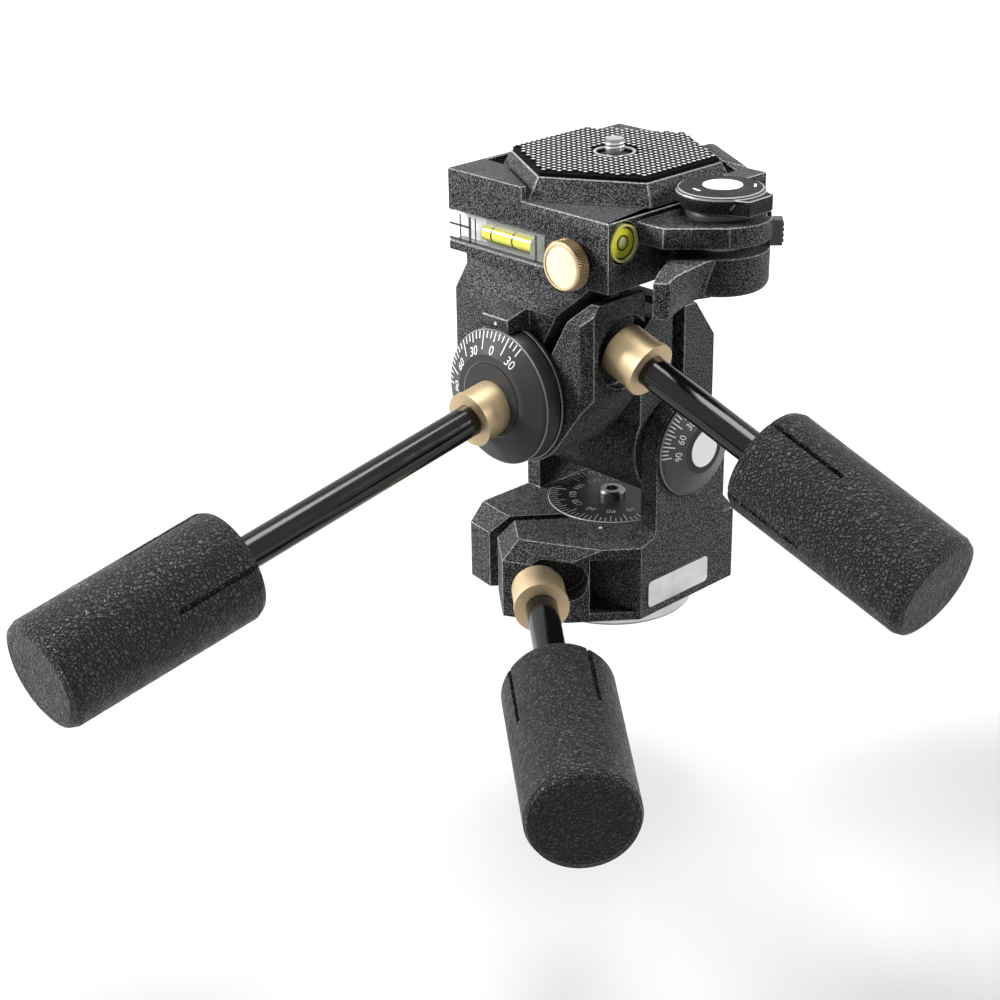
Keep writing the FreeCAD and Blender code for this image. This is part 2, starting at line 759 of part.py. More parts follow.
def make_middle_casting():
    """Hub about the tilt axis with two lugs that the tilt screw pulls together."""
    body = new_piece("middle_casting")
    left, right = S.middle_left_x, S.middle_right_x
    extrude(body, "TiltHub", "YZ", left, right, [Circle(0, S.tilt_z, S.middle_hub_radius)])
    lugs = [(S.middle_front_y, S.tilt_z), (S.middle_back_y, S.tilt_z),
            (S.middle_back_y, S.middle_top_z - S.lug_chamfer_z),
            (S.middle_back_y - S.lug_chamfer_y, S.middle_top_z),
            (S.middle_front_y + S.front_lug_chamfer, S.middle_top_z),
            (S.middle_front_y, S.middle_top_z - S.front_lug_chamfer)]
    extrude(body, "Lugs", "YZ", left, right, [lugs])
    extrude(body, "Journal", "YZ", right, S.right_side_x + S.piece_gap,
            [Circle(0, S.tilt_z, S.journal_radius)])
    extrude(body, "TrunnionBore", "YZ", left - OVERRUN, S.trunnion_inner_x + S.piece_gap,
            [Circle(0, S.tilt_z, S.trunnion_radius + S.running_gap)], cut=True)
    extrude(body, "TiltSlit", "YZ", left - OVERRUN, right + OVERRUN,
            [box_outline(S.tilt_slit_front_y, S.tilt_z + S.journal_radius + OVERRUN,
                         S.tilt_slit_back_y, S.middle_top_z + OVERRUN)], cut=True)
    extrude(body, "SlitToBore", "YZ", left - OVERRUN, S.trunnion_inner_x,
            [box_outline(S.tilt_slit_front_y, S.tilt_z, S.tilt_slit_back_y,
                         S.middle_top_z + OVERRUN)], cut=True)
    extrude(body, "ShaftSocket", "XZ", S.middle_front_y - OVERRUN,
            S.middle_front_y + S.shaft_spigot_length,
            [Circle(0, S.lateral_z, S.shaft_spigot_radius + S.running_gap)], cut=True)
    cut_from(body, "TiltScrewHole", TILT_FRAME, S.tilt_screw_reach + S.piece_gap,
             [Circle(0, 0, SCREW_HOLE)])
    extrude(body, "DialScrewHole", "YZ",
            S.right_side_x + S.piece_gap - S.dial_screw_length - S.piece_gap,
            S.right_side_x + OVERRUN,
            [Circle(0, S.tilt_z, S.dial_screw_radius + S.running_gap)], cut=True)


def make_tilt_dial():
    """Conical scale on the journal's end, with its screw and its bare cap."""
    seat = S.right_side_x + S.piece_gap
    face = seat + S.dial_height
    hole = S.dial_screw_radius + S.running_gap
    cap_seat = face - S.dial_cap_recess
    turned_piece("tilt_scale_dial", [
        (hole, seat), (S.dial_radius, seat), (S.dial_radius, seat + S.dial_rim),
        (S.dial_face_radius, face), (S.dial_cap_radius + S.running_gap, face),
        (S.dial_cap_radius + S.running_gap, cap_seat), (hole, cap_seat)], TILT_AXIS)
    turned_piece("dial_screw", [
        (0, seat - S.dial_screw_length), (S.dial_screw_radius, seat - S.dial_screw_length),
        (S.dial_screw_radius, cap_seat), (0, cap_seat)], TILT_AXIS)
    turned_piece("dial_cap", [
        (0, cap_seat), (S.dial_cap_radius, cap_seat),
        (S.dial_cap_radius, face + S.piece_gap), (0, face + S.piece_gap)], TILT_AXIS)


# ---------------------------------------------------------------- lateral tilt axis

def make_lateral_shaft():
    """Hollow journal on the middle casting that the platform's drum turns on."""
    flange_face = -S.drum_back_y - S.face_gap
    spigot = -S.middle_front_y - S.shaft_spigot_length + S.face_gap
    nose_end = DISC_BACK + S.lateral_disc_thickness - S.lateral_disc_recess_depth
    turned_piece("lateral_shaft", [
        (S.shaft_bore_radius, spigot), (S.shaft_spigot_radius, spigot),
        (S.shaft_spigot_radius, -S.middle_front_y), (S.shaft_neck_radius, -S.middle_front_y),
        (S.shaft_neck_radius, flange_face), (S.shaft_radius, flange_face),
        (S.shaft_radius, WASHER_BACK), (S.shaft_nose_radius, WASHER_BACK),
        (S.shaft_nose_radius, nose_end), (S.shaft_bore_radius, nose_end)], LATERAL_AXIS)


def make_lateral_disc():
    """Bevelled scale disc on the shaft's nose, dished for the collar, and its washer."""
    hole = S.shaft_nose_radius + S.running_gap
    rim = DISC_BACK + S.lateral_disc_rim_width
    face = DISC_BACK + S.lateral_disc_thickness
    dish = face - S.lateral_disc_recess_depth
    turned_piece("lateral_washer", [
        (hole, WASHER_BACK), (S.lateral_washer_radius, WASHER_BACK),
        (S.lateral_washer_radius, WASHER_BACK + S.lateral_washer_thickness),
        (hole, WASHER_BACK + S.lateral_washer_thickness)], LATERAL_AXIS)
    turned_piece("lateral_scale_disc", [
        (hole, DISC_BACK), (S.lateral_disc_radius, DISC_BACK), (S.lateral_disc_radius, rim),
        (S.lateral_disc_face_radius, face), (S.lateral_disc_recess_radius, face),
        (S.lateral_disc_recess_radius, dish), (hole, dish)], LATERAL_AXIS)


# ---------------------------------------------------------------- platform

def make_platform_casting():
    """Clamp body round the lateral shaft, slab with its rails, and the lever's lobe."""
    body = new_piece("platform_casting")
    front, back, foot = S.clamp_front_y, S.drum_back_y, S.body_foot_z
    on_drum = S.drum_foot_half_width
    top = S.slab_bottom_z + OVERRUN
    extrude(body, "Drum", "XZ", front, back, [Circle(0, S.lateral_z, S.drum_radius)])
    extrude(body, "ClampBody", "XZ", front, back,
            [[(S.body_left_x, S.shoulder_z), (S.body_left_x, S.body_left_z), (-on_drum, foot),
              (on_drum, foot), (S.body_right_x, S.body_right_z),
              (S.body_right_x, S.shoulder_z)]])
    extrude(body, "Shoulder", "YZ", S.body_left_x, S.body_right_x,
            [[(back, top), (-SLAB_HALF_DEPTH, top), (-SLAB_HALF_DEPTH, S.shoulder_top_z),
              (front, S.shoulder_z), (back, S.shoulder_z)]])
    extrude(body, "Slab", "XY", S.slab_bottom_z, S.slab_top_z,
            [box_outline(-SLAB_HALF_WIDTH, -SLAB_HALF_DEPTH, SLAB_HALF_WIDTH,
                         SLAB_HALF_DEPTH, S.slab_corner)])
    add_rails(body)
    add_pointer(body)
    add_lobe(body)
    cut_lateral_clamp(body)
    cut_level_seats(body)


def add_pointer(body):
    """Lug over the lateral disc that carries the pointer, cut to clear the disc."""
    front, root = S.pointer_front_y, S.clamp_front_y
    extrude(body, "PointerLug", "YZ", S.pointer_left_x, S.pointer_right_x,
            [[(root, S.lateral_z), (front, S.lateral_z), (front, S.pointer_top_z),
              (root, S.pointer_root_z)]])
    extrude(body, "DiscClearance", "XZ", front - OVERRUN, root,
            [Circle(0, S.lateral_z, S.lateral_washer_radius + S.piece_gap)], cut=True)


def rail_distance():
    return PLATE_FLAT + S.rail_gap


def on_plate_flat(across, side):
    """Y of the camera plate's slanted flat, clear by the rail gap, at a given X."""
    return (rail_distance() - across / 2) / HEX_FLAT_RATIO * side


def add_rails(body):
    """Three raised rails round the camera plate's slanted flats."""
    half, top = SLAB_HALF_DEPTH, S.rail_top_z
    for name, side in (("FrontRail", -1), ("BackRail", 1)):
        edge = half * side
        bend_y = on_plate_flat(-S.rail_bend_x, side)
        rail = [(-SLAB_HALF_WIDTH, edge), (S.rail_end_x, edge),
                (S.rail_end_x, on_plate_flat(-S.rail_end_x, side)), (S.rail_bend_x, bend_y),
                (-SLAB_HALF_WIDTH, bend_y - S.rail_bend_rise * side)]
        extrude(body, name, "XY", S.slab_top_z, top, [rail])
    side_x = SLAB_HALF_WIDTH + S.far_rail_overhang
    far = [(S.far_rail_start_x, half), (S.far_rail_start_x, on_plate_flat(S.far_rail_start_x, 1)),
           (S.far_rail_x, on_plate_flat(S.far_rail_x, 1)), (side_x, S.far_rail_side_y),
           (side_x, S.far_rail_back_y), (S.far_rail_back_x, half)]
    extrude(body, "FarRail", "XY", S.lobe_bottom_z, top, [far])


def add_lobe(body):
    """Flange beside the slab that carries the release lever's post."""
    inside = SLAB_HALF_WIDTH - OVERRUN
    side_x = SLAB_HALF_WIDTH + S.far_rail_overhang
    front_y = S.pivot_y + S.lobe_front_y
    extrude(body, "LobeRound", "XY", S.lobe_bottom_z, S.lobe_top_z,
            [Circle(PIVOT_X, S.pivot_y, S.lobe_radius)])
    web = [(inside, front_y), (PIVOT_X + S.lobe_front_x, front_y),
           (PIVOT_X + S.lobe_side_x, S.pivot_y + S.lobe_side_y),
           (PIVOT_X + S.lobe_back_x, S.pivot_y + S.lobe_back_y), (side_x, S.far_rail_side_y),
           (side_x, S.far_rail_back_y), (inside, S.far_rail_back_y)]
    extrude(body, "LobeWeb", "XY", S.lobe_bottom_z, S.lobe_top_z, [web])
    extrude(body, "PostBore", "XY", S.lobe_bottom_z - OVERRUN, S.lobe_top_z + OVERRUN,
            [Circle(PIVOT_X, S.pivot_y, S.post_radius + S.running_gap)], cut=True)
    extrude(body, "LeverRelief", "XY", S.lever_bottom_z - OVERRUN, S.lobe_bottom_z,
            [Circle(PIVOT_X, S.pivot_y, S.lever_hub_radius + S.hub_recess_gap)], cut=True)
    catch = catch_frame()
    half = S.catch_width / 2 + S.piece_gap
    sketch_frame = FreeCAD.Placement(catch.Base + point(0, 0, S.lobe_top_z + OVERRUN),
                                     catch.Rotation)
    cut_from(body, "CatchSlot", sketch_frame, S.lobe_top_z - S.lobe_bottom_z + OVERRUN * 2,
             [box_outline(S.catch_start - S.piece_gap, -half, S.catch_end + S.lobe_radius, half)])


def cut_lateral_clamp(body):
    """Shaft bore, clamp slit, bevelled jaw with its collar recess and screw hole."""
    front, back = S.clamp_front_y - OVERRUN, S.drum_back_y + OVERRUN
    outside = S.body_right_x + OVERRUN
    extrude(body, "ShaftBore", "XZ", front, back,
            [Circle(0, S.lateral_z, S.shaft_radius + S.running_gap)], cut=True)
    slit = [(S.slit_foot_left_x, S.slit_foot_z), (S.slit_foot_right_x, S.slit_foot_z),
            (S.slit_knee_right_x, S.shoulder_z), (S.slit_top_right_x, S.jaw_top_z),
            (outside, S.jaw_top_z), (outside, S.slab_bottom_z),
            (S.slit_top_left_x, S.slab_bottom_z), (S.slit_knee_left_x, S.shoulder_z)]
    extrude(body, "LateralSlit", "XZ", front, back, [slit], cut=True)
    foot_middle = (S.slit_foot_left_x + S.slit_foot_right_x) / 2
    knee_middle = (S.slit_knee_left_x + S.slit_knee_right_x) / 2
    extrude(body, "FaceStep", "XZ", front, S.clamp_front_y + S.face_step_depth,
            [[(S.pointer_right_x, S.slit_foot_z), (foot_middle, S.slit_foot_z),
              (knee_middle, S.shoulder_z), (S.pointer_right_x, S.shoulder_z)]], cut=True)
    bevel_x = S.body_right_x - S.jaw_bevel_across
    bevel_y = S.clamp_front_y + S.jaw_bevel_depth
    extrude(body, "JawBevel", "XY", S.body_foot_z, S.slab_bottom_z - S.piece_gap,
            [[(bevel_x, S.clamp_front_y), (bevel_x, front), (outside, front),
              (outside, bevel_y), (S.body_right_x, bevel_y)]], cut=True)
    recess = facing_frame(S.lateral_azimuth, S.body_right_x + S.collar_length)
    cut_from(body, "JawRecess", recess, S.body_right_x + S.collar_length - S.jaw_recess_x,
             [Circle(S.lateral_root_y, S.lateral_root_z, S.jaw_recess_radius)])
    cut_from(body, "LateralScrewHole", LATERAL_FRAME, S.lateral_screw_reach + S.piece_gap,
             [Circle(0, 0, SCREW_HOLE)])


def cut_level_seats(body):
    """Seats of the long level, the round level and the thumb screw."""
    front = -SLAB_HALF_DEPTH
    extrude(body, "LongLevelSeat", "XZ", front - OVERRUN, front + S.level_depth,
            [box_outline(-SLAB_HALF_WIDTH - OVERRUN, S.level_bottom_z, S.level_right_x,
                         S.level_top_z)], cut=True)
    extrude(body, "RoundLevelSeat", "YZ", SLAB_HALF_WIDTH - S.round_level_depth,
            SLAB_HALF_WIDTH + OVERRUN,
            [Circle(S.round_level_y, S.round_level_z, S.round_level_radius + S.running_gap)],
            cut=True)
    extrude(body, "ThumbHole", "XZ", front - OVERRUN, front + S.thumb_shank_length + S.piece_gap,
            [Circle(S.thumb_x, S.thumb_z, S.thumb_shank_radius + S.running_gap)], cut=True)


# ---------------------------------------------------------------- levels and thumb screw

def make_long_level():
    """Clear block in the slab's front with its cylindrical vial."""
    gap = S.level_side_gap
    front = -SLAB_HALF_DEPTH
    middle_y = front + S.level_depth / 2
    middle_z = (S.level_bottom_z + S.level_top_z) / 2
    body = new_piece("level_block")
    extrude(body, "LevelBlock", "XZ", front, front + S.level_depth - gap,
            [box_outline(-SLAB_HALF_WIDTH, S.level_bottom_z + gap, S.level_right_x - gap,
                         S.level_top_z - gap)])
    extrude(body, "VialBore", "YZ", S.vial_left_x - gap, S.vial_right_x + gap,
            [Circle(middle_y, middle_z, S.vial_radius - gap)], cut=True)
    extrude(body, "VialWindow", "XZ", front - OVERRUN, middle_y,
            [box_outline(S.vial_left_x - gap, middle_z - S.vial_radius + gap,
                         S.vial_right_x + gap, middle_z + S.vial_radius - gap)], cut=True)
    vial = new_piece("level_vial")
    extrude(vial, "Vial", "YZ", S.vial_left_x, S.vial_right_x,
            [Circle(middle_y, middle_z, S.vial_radius - gap - S.running_gap)])


def make_round_level():
    """Cup with the domed bull's-eye lens, let into the slab's right side."""
    bottom = SLAB_HALF_WIDTH - S.round_level_depth
    top = SLAB_HALF_WIDTH + S.round_level_stand
    lens_seat = top - S.round_lens_depth
    bore = S.round_lens_radius + S.running_gap
    axis = FreeCAD.Placement(point(0, S.round_level_y, S.round_level_z), TOWARD_RIGHT)
    turned_piece("round_level_cup", [
        (0, bottom), (S.round_level_radius, bottom), (S.round_level_radius, top),
        (bore, top), (bore, lens_seat), (0, lens_seat)], axis)
    dome = top + S.round_lens_dome
    turned_piece("round_level_lens", [
        (0, lens_seat), (S.round_lens_radius, lens_seat), (S.round_lens_radius, top),
        (S.round_lens_radius / 2, dome), (0, dome)], axis)


def make_thumb_screw():
    """Knurled brass screw in the slab's front face."""
    seat = SLAB_HALF_DEPTH + S.piece_gap
    neck = seat + S.thumb_neck_length
    face = neck + S.thumb_rim_width
    tip = SLAB_HALF_DEPTH - S.thumb_shank_length
    turned_piece("thumb_screw", [
        (0, tip), (S.thumb_shank_radius, tip), (S.thumb_shank_radius, seat),
        (S.thumb_neck_radius, seat), (S.thumb_neck_radius, neck),
        (S.thumb_radius - S.thumb_edge, neck), (S.thumb_radius, neck + S.thumb_edge),
        (S.thumb_radius, face - S.thumb_edge), (S.thumb_radius - S.thumb_edge, face),
        (S.thumb_dish_radius, face), (S.thumb_dish_radius, face - S.thumb_dish_depth),
        (0, face - S.thumb_dish_depth)],
        FreeCAD.Placement(point(S.thumb_x, 0, S.thumb_z), TOWARD_FRONT))


# ---------------------------------------------------------------- release lever

def catch_frame():
    """Frame on the lever's pivot with +X along the catch's travel."""
    return FreeCAD.Placement(point(PIVOT_X, S.pivot_y, 0),
                             FreeCAD.Rotation(UP, S.catch_azimuth.number))


def make_lever():
    """Round hub with a curved arm whose outer face leans out towards its top."""
    bottom, top = S.lever_bottom_z, S.lever_top_z
    body = turned_piece("release_lever", [
        (S.post_radius, bottom), (S.lever_hub_radius, bottom, S.lever_hub_round),
        (S.lever_hub_radius, top), (S.post_radius, top)], PIVOT)
    sections = []
    for name, height, lean in (("ArmFoot", bottom, 0), ("ArmTop", top, S.lever_waist_lean)):
        section = sketch_on(body, name, "XY", height)
        draw(section, [lever_arm(lean)])
        sections.append(section)
    arm = body.newObject("PartDesign::AdditiveLoft", "LeverArm")
    arm.Profile = sections[0]
    arm.Sections = sections[1:]
    arm.Ruled = True
    extrude(body, "TipSlope", "YZ", S.lever_root_in_x, S.lever_tip_out_x + OVERRUN,
            [[(S.lever_tip_in_y - OVERRUN, S.lever_tip_top_z), (S.lever_slope_y, top),
              (S.lever_slope_y, top + OVERRUN), (S.lever_tip_in_y - OVERRUN, top + OVERRUN)]],
            cut=True)
    extrude(body, "LeverBore", "XY", bottom - OVERRUN, top + OVERRUN,
            [Circle(0, 0, S.post_radius)], cut=True)


def lever_arm(lean):
    """Outline of the arm about the pivot, its waist moved out by the lean."""
    return [(S.lever_root_out_x, S.lever_root_out_y), (S.lever_root_in_x, S.lever_root_in_y),
            (S.lever_waist_in_x, S.lever_waist_in_y, S.lever_waist_in_round),
            (S.lever_tip_in_x, S.lever_tip_in_y, S.lever_edge),
            (S.lever_tip_out_x, S.lever_tip_out_y, S.lever_edge),
            (S.lever_waist_out_x + lean, S.lever_waist_out_y, S.lever_waist_out_round)]


def make_lever_post():
    """Post through the lobe that joins the lever to its cap."""
    turned_piece("lever_post", [
        (0, S.lever_bottom_z), (S.post_radius, S.lever_bottom_z),
        (S.post_radius, S.lobe_top_z + S.face_gap),
        (S.post_flange_radius, S.lobe_top_z + S.face_gap),
        (S.post_flange_radius, S.cap_bottom_z), (0, S.cap_bottom_z)], PIVOT)
    turned_piece("lever_spring", [
        (S.post_radius + S.face_gap, S.lever_top_z), (S.spring_radius, S.lever_top_z),
        (S.spring_radius, S.lobe_bottom_z - S.piece_gap),
        (S.post_radius + S.face_gap, S.lobe_bottom_z - S.piece_gap)], PIVOT)


def make_lever_cap():
    """Cap above the lobe, wider at its brim, with the flat lobe of the release cam."""
    bottom, top = S.cap_bottom_z, S.cap_top_z
    body = turned_piece("lever_cap", [
        (0, bottom), (S.cap_foot_radius, bottom), (S.cap_radius, top - S.cap_brim),
        (S.cap_radius, top - S.cap_edge), (S.cap_radius - S.cap_edge, top), (0, top)], PIVOT)
    half = S.cap_lobe_half_width
    extrude(body, "CapLobe", "XY", bottom, top - S.cap_edge,
            [[(0, -S.cap_foot_radius), (S.cap_lobe_radius, -half, S.cap_edge),
              (S.cap_lobe_radius, half, S.cap_edge), (0, S.cap_foot_radius)]])


def make_safety_catch():
    """Small slide in the lobe's rim that keeps the lever shut."""
    body = new_piece("safety_catch", catch_frame())
    half = S.catch_width / 2
    extrude(body, "Catch", "XY", S.catch_bottom_z, S.catch_top_z,
            [box_outline(S.catch_start, -half, S.catch_end, half, S.cap_edge)])


# ---------------------------------------------------------------- camera plate

def make_camera_plate():
    """Six sided plate, wider at its foot, with the rubber pad and camera screw."""
    body = new_piece("camera_plate")
    sections = []
    for name, height, radius in (("PlateFoot", S.slab_top_z, S.plate_base_radius),
                                 ("PlateRim", S.plate_rim_z, S.plate_rim_radius)):
        sketch = sketch_on(body, name, "XY", height)
        draw(sketch, [hexagon(radius, QUARTER_TURN)])
        sections.append(sketch)
    loft = body.newObject("PartDesign::AdditiveLoft", "PlateLoft")
    loft.Profile = sections[0]
    loft.Sections = sections[1:]
    loft.Ruled = True
    head_top = S.slab_top_z + S.camera_screw_head_height + S.piece_gap * 2
    extrude(body, "ScrewHeadSeat", "XY", S.slab_top_z - OVERRUN, head_top,
            [Circle(0, 0, S.camera_screw_head_radius + S.piece_gap)], cut=True)
    extrude(body, "CameraScrewHole", "XY", S.slab_top_z, S.plate_rim_z + OVERRUN,
            [Circle(0, 0, S.camera_screw_radius + S.running_gap)], cut=True)
    pad = new_piece("plate_pad")
    extrude(pad, "Pad", "XY", S.plate_rim_z, S.pad_top_z,
            [hexagon(S.plate_rim_radius - S.pad_inset, QUARTER_TURN),
             Circle(0, 0, S.camera_screw_head_radius)])


def make_camera_screw():
    """Captive 1/4 inch screw with a coin slot under its head."""
    bottom = S.slab_top_z + S.piece_gap
    shoulder = bottom + S.camera_screw_head_height
    top = S.pad_top_z + S.camera_screw_rise
    body = turned_piece("camera_screw", [
        (0, bottom), (S.camera_screw_head_radius, bottom), (S.camera_screw_head_radius, shoulder),
        (S.camera_screw_neck_radius, shoulder), (S.camera_screw_neck_radius, S.pad_top_z),
        (S.camera_screw_radius, S.pad_top_z), (S.camera_screw_radius, top), (0, top)])
    half = S.camera_screw_slot_width / 2
    extrude(body, "CoinSlot", "XY", bottom - OVERRUN, bottom + S.camera_screw_slot_depth,
            [box_outline(-S.camera_screw_head_radius - OVERRUN, -half,
                         S.camera_screw_head_radius + OVERRUN, half)], cut=True)


# ---------------------------------------------------------------- handles

def make_handle(name, frame, collar_end, grip_start, reach):
    """Brass collar, clamp screw, round rod and moulded grip of one handle."""
    socket = collar_end - S.collar_socket
    inner = collar_end - S.collar_length
    screw_top = inner + S.clamp_screw_grip
    lip = collar_end - S.collar_lip_length
    rod_hole = S.rod_radius + S.running_gap
    turned_piece(name + "_collar", [
        (S.clamp_screw_radius, inner), (S.collar_radius, inner), (S.collar_radius, lip),
        (S.collar_lip_radius, lip), (S.collar_lip_radius, collar_end), (rod_hole, collar_end),
        (rod_hole, socket), (0, socket), (0, screw_top), (S.clamp_screw_radius, screw_top)],
        frame)
    turned_piece(name + "_clamp_screw", [
        (0, -reach), (S.clamp_screw_radius, -reach), (S.clamp_screw_radius, screw_top),
        (0, screw_top)], frame)
    rod_end = grip_start + S.rod_in_grip
    turned_piece(name + "_rod", [
        (0, socket), (S.rod_radius, socket), (S.rod_radius, rod_end), (0, rod_end)], frame)
    make_grip(name, frame, grip_start, rod_end, rod_hole)


def make_grip(name, frame, start, rod_end, rod_hole):
    """Tapered grip with bevelled ends and grooves that run from its inner end."""
    end = start + S.grip_length
    inner, outer = S.grip_inner_radius, S.grip_outer_radius
    bevel, step = S.grip_bevel, S.grip_bevel_step
    body = turned_piece(name + "_grip", [
        (rod_hole, start), (inner - bevel, start), (inner - step, start + step),
        (inner, start + bevel), (outer, end - bevel), (outer - step, end - step),
        (outer - bevel, end), (0, end), (0, rod_end), (rod_hole, rod_end)], frame)
    half = S.groove_width / 2
    floor = outer - S.groove_depth
    sketch = sketch_on(body, "GrooveOutline", "XY", start - OVERRUN, S.groove_first_angle)
    draw(sketch, [box_outline(floor, -half, inner + OVERRUN, half)])
    groove = body.newObject("PartDesign::Pocket", "Groove")
    groove.Profile = sketch
    groove.Reversed = True
    bind(groove, "Length", S.groove_length + OVERRUN)
    DOCUMENT.recompute()
    ring = body.newObject("PartDesign::PolarPattern", "GrooveRing")
    ring.Originals = [groove]
    ring.Axis = (sketch_axis(body), [""])
    ring.Angle = FULL_TURN
    bind(ring, "Occurrences", S.groove_count)
    body.Tip = ring


def sketch_axis(body):
    return next(item for item in body.Origin.OriginFeatures if item.Role == "Z_Axis")


def make_all():
    make_base_plate()
    make_pan_spindle()
    make_thrust_washer()
    make_pan_scale_disc()
    make_spindle_screw()
    make_lower_casting()
    make_side_plate()
    make_tilt_trunnion()
    make_middle_casting()
    make_tilt_dial()
    make_lateral_shaft()
    make_lateral_disc()
    make_platform_casting()
    make_long_level()
    make_round_level()
    make_thumb_screw()
    make_lever()
    make_lever_post()
    make_lever_cap()
    make_safety_catch()
    make_camera_plate()
    make_camera_screw()
    make_handle("pan", PAN_FRAME, S.pan_collar_end, S.pan_grip_start, S.pan_screw_reach)
    make_handle("tilt", TILT_FRAME, S.tilt_collar_end, S.tilt_grip_start, S.tilt_screw_reach)
    make_handle("lateral", LATERAL_FRAME, S.lateral_collar_end, S.lateral_grip_start,
                S.lateral_screw_reach)


def check_all():
    """Stops on any failed object, empty shape, broken shape or cut that removed nothing."""
    for item in DOCUMENT.Objects:
        if "Invalid" in item.State or "Error" in item.State:
            raise RuntimeError(f"{item.Label} is {item.State}: {item.getStatusString()}")
        if item.TypeId in ("PartDesign::Pocket", "PartDesign::Groove"):
            if item.Shape.Volume >= item.BaseFeature.Shape.Volume:
                raise RuntimeError(f"{item.Label} cuts nothing")
    for body in PIECES:
        if body.Shape.isNull() or not body.Shape.isValid():
            raise RuntimeError(f"{body.Label} has no valid shape")
        if len(body.Shape.Solids) != 1:
            raise RuntimeError(f"{body.Label} has {len(body.Shape.Solids)} solids")


make_all()
DOCUMENT.recompute()
check_all()
os.makedirs("parts", exist_ok=True)
for body in PIECES:
    body.Shape.exportStep(f"parts/{body.Label}.step")
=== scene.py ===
import math

import bmesh
import bpy
from mathutils import Matrix, Vector


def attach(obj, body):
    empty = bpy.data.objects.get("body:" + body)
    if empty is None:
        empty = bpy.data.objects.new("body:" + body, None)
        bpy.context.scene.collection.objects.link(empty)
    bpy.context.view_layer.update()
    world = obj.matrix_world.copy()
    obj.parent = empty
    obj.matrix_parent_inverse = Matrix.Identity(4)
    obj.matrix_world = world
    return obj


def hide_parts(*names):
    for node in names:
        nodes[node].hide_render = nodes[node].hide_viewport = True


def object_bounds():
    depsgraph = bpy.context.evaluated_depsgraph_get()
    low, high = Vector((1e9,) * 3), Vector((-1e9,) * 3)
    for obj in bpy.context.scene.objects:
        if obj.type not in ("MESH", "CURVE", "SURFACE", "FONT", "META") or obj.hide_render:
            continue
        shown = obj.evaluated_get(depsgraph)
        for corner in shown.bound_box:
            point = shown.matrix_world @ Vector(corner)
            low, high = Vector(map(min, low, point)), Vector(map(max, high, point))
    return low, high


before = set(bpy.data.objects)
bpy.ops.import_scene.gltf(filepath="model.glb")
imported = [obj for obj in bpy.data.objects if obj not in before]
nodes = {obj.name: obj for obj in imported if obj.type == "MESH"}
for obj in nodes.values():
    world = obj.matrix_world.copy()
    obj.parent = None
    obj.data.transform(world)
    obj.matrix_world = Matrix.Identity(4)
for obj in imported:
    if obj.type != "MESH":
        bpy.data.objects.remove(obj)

cad_low, cad_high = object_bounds()
MM = 0.001
FULL_TURN = 2 * math.pi

# where the scene's own pieces sit on the CAD pieces at rest, in millimetres
TILT_AXIS_Z = 70
LATERAL_AXIS_Z = 93.5
PLATE_TOP_Z = 167.2
MARK_SINK, MARK_TOP = -0.05, 0.08  # printed marks reach into the surface and stand out of it
TILT_ANGLES = range(-90, 31, 5)
TILT_NUMBERS = [(a, str(abs(a))) for a in (-90, -60, -30, 0, 30)]

# metres from the lowest point at rest down to the floor; the tipped tilt grip clears it by 6 mm
FLOOR_DROP = 0.074


# ---------------------------------------------------------------- camera, floor and light

def make_camera():
    """Long lens from the front right and above, as in the reference view."""
    azimuth, elevation, roll = (math.radians(angle) for angle in (46.62, 24.27, -1.02))
    place = (0.4579, -0.4895, 0.3392)
    back = Vector((math.sin(azimuth) * math.cos(elevation),
                   -math.cos(azimuth) * math.cos(elevation), math.sin(elevation)))
    right = Vector((math.cos(azimuth), math.sin(azimuth), 0))
    up = back.cross(right)
    rolled_right = right * math.cos(roll) + up * math.sin(roll)
    rolled_up = up * math.cos(roll) - right * math.sin(roll)
    data = bpy.data.cameras.new("camera")
    data.sensor_fit = "HORIZONTAL"
    data.sensor_width = 36.0
    data.lens = 71.672
    data.clip_start = 0.01
    camera = bpy.data.objects.new("camera", data)
    turn = Matrix((rolled_right, rolled_up, back)).transposed()
    camera.matrix_world = Matrix.Translation(place) @ turn.to_4x4()
    bpy.context.scene.collection.objects.link(camera)
    bpy.context.scene.camera = camera


def area_light(name, place, target, size, power):
    """Square soft light that faces its target."""
    data = bpy.data.lights.new(name, "AREA")
    data.shape = "RECTANGLE"
    data.size = data.size_y = size
    data.energy = power
    light = bpy.data.objects.new(name, data)
    place, target = Vector(place), Vector(target)
    light.matrix_world = (Matrix.Translation(place)
                          @ (target - place).to_track_quat("-Z", "Y").to_matrix().to_4x4())
    bpy.context.scene.collection.objects.link(light)


def seen_directly(tree):
    """One for what the camera sees, straight or by a reflection or through a clear piece."""
    path = tree.nodes.new("ShaderNodeLightPath")
    total = path.outputs["Is Camera Ray"]
    for ray in ("Is Glossy Ray", "Is Transmission Ray"):
        either = tree.nodes.new("ShaderNodeMath")
        either.operation = "MAXIMUM"
        tree.links.new(total, either.inputs[0])
        tree.links.new(path.outputs[ray], either.inputs[1])
        total = either.outputs[0]
    return total


def make_world():
    """White for what the camera or a reflection sees, softer as a light."""
    world = bpy.data.worlds.new("studio")
    bpy.context.scene.world = world
    world.use_nodes = True
    tree = world.node_tree
    back = tree.nodes["Background"]
    back.inputs["Color"].default_value = (1, 1, 1, 1)
    tree.links.new(ranged(tree, seen_directly(tree), 0.05, 1.0), back.inputs["Strength"])


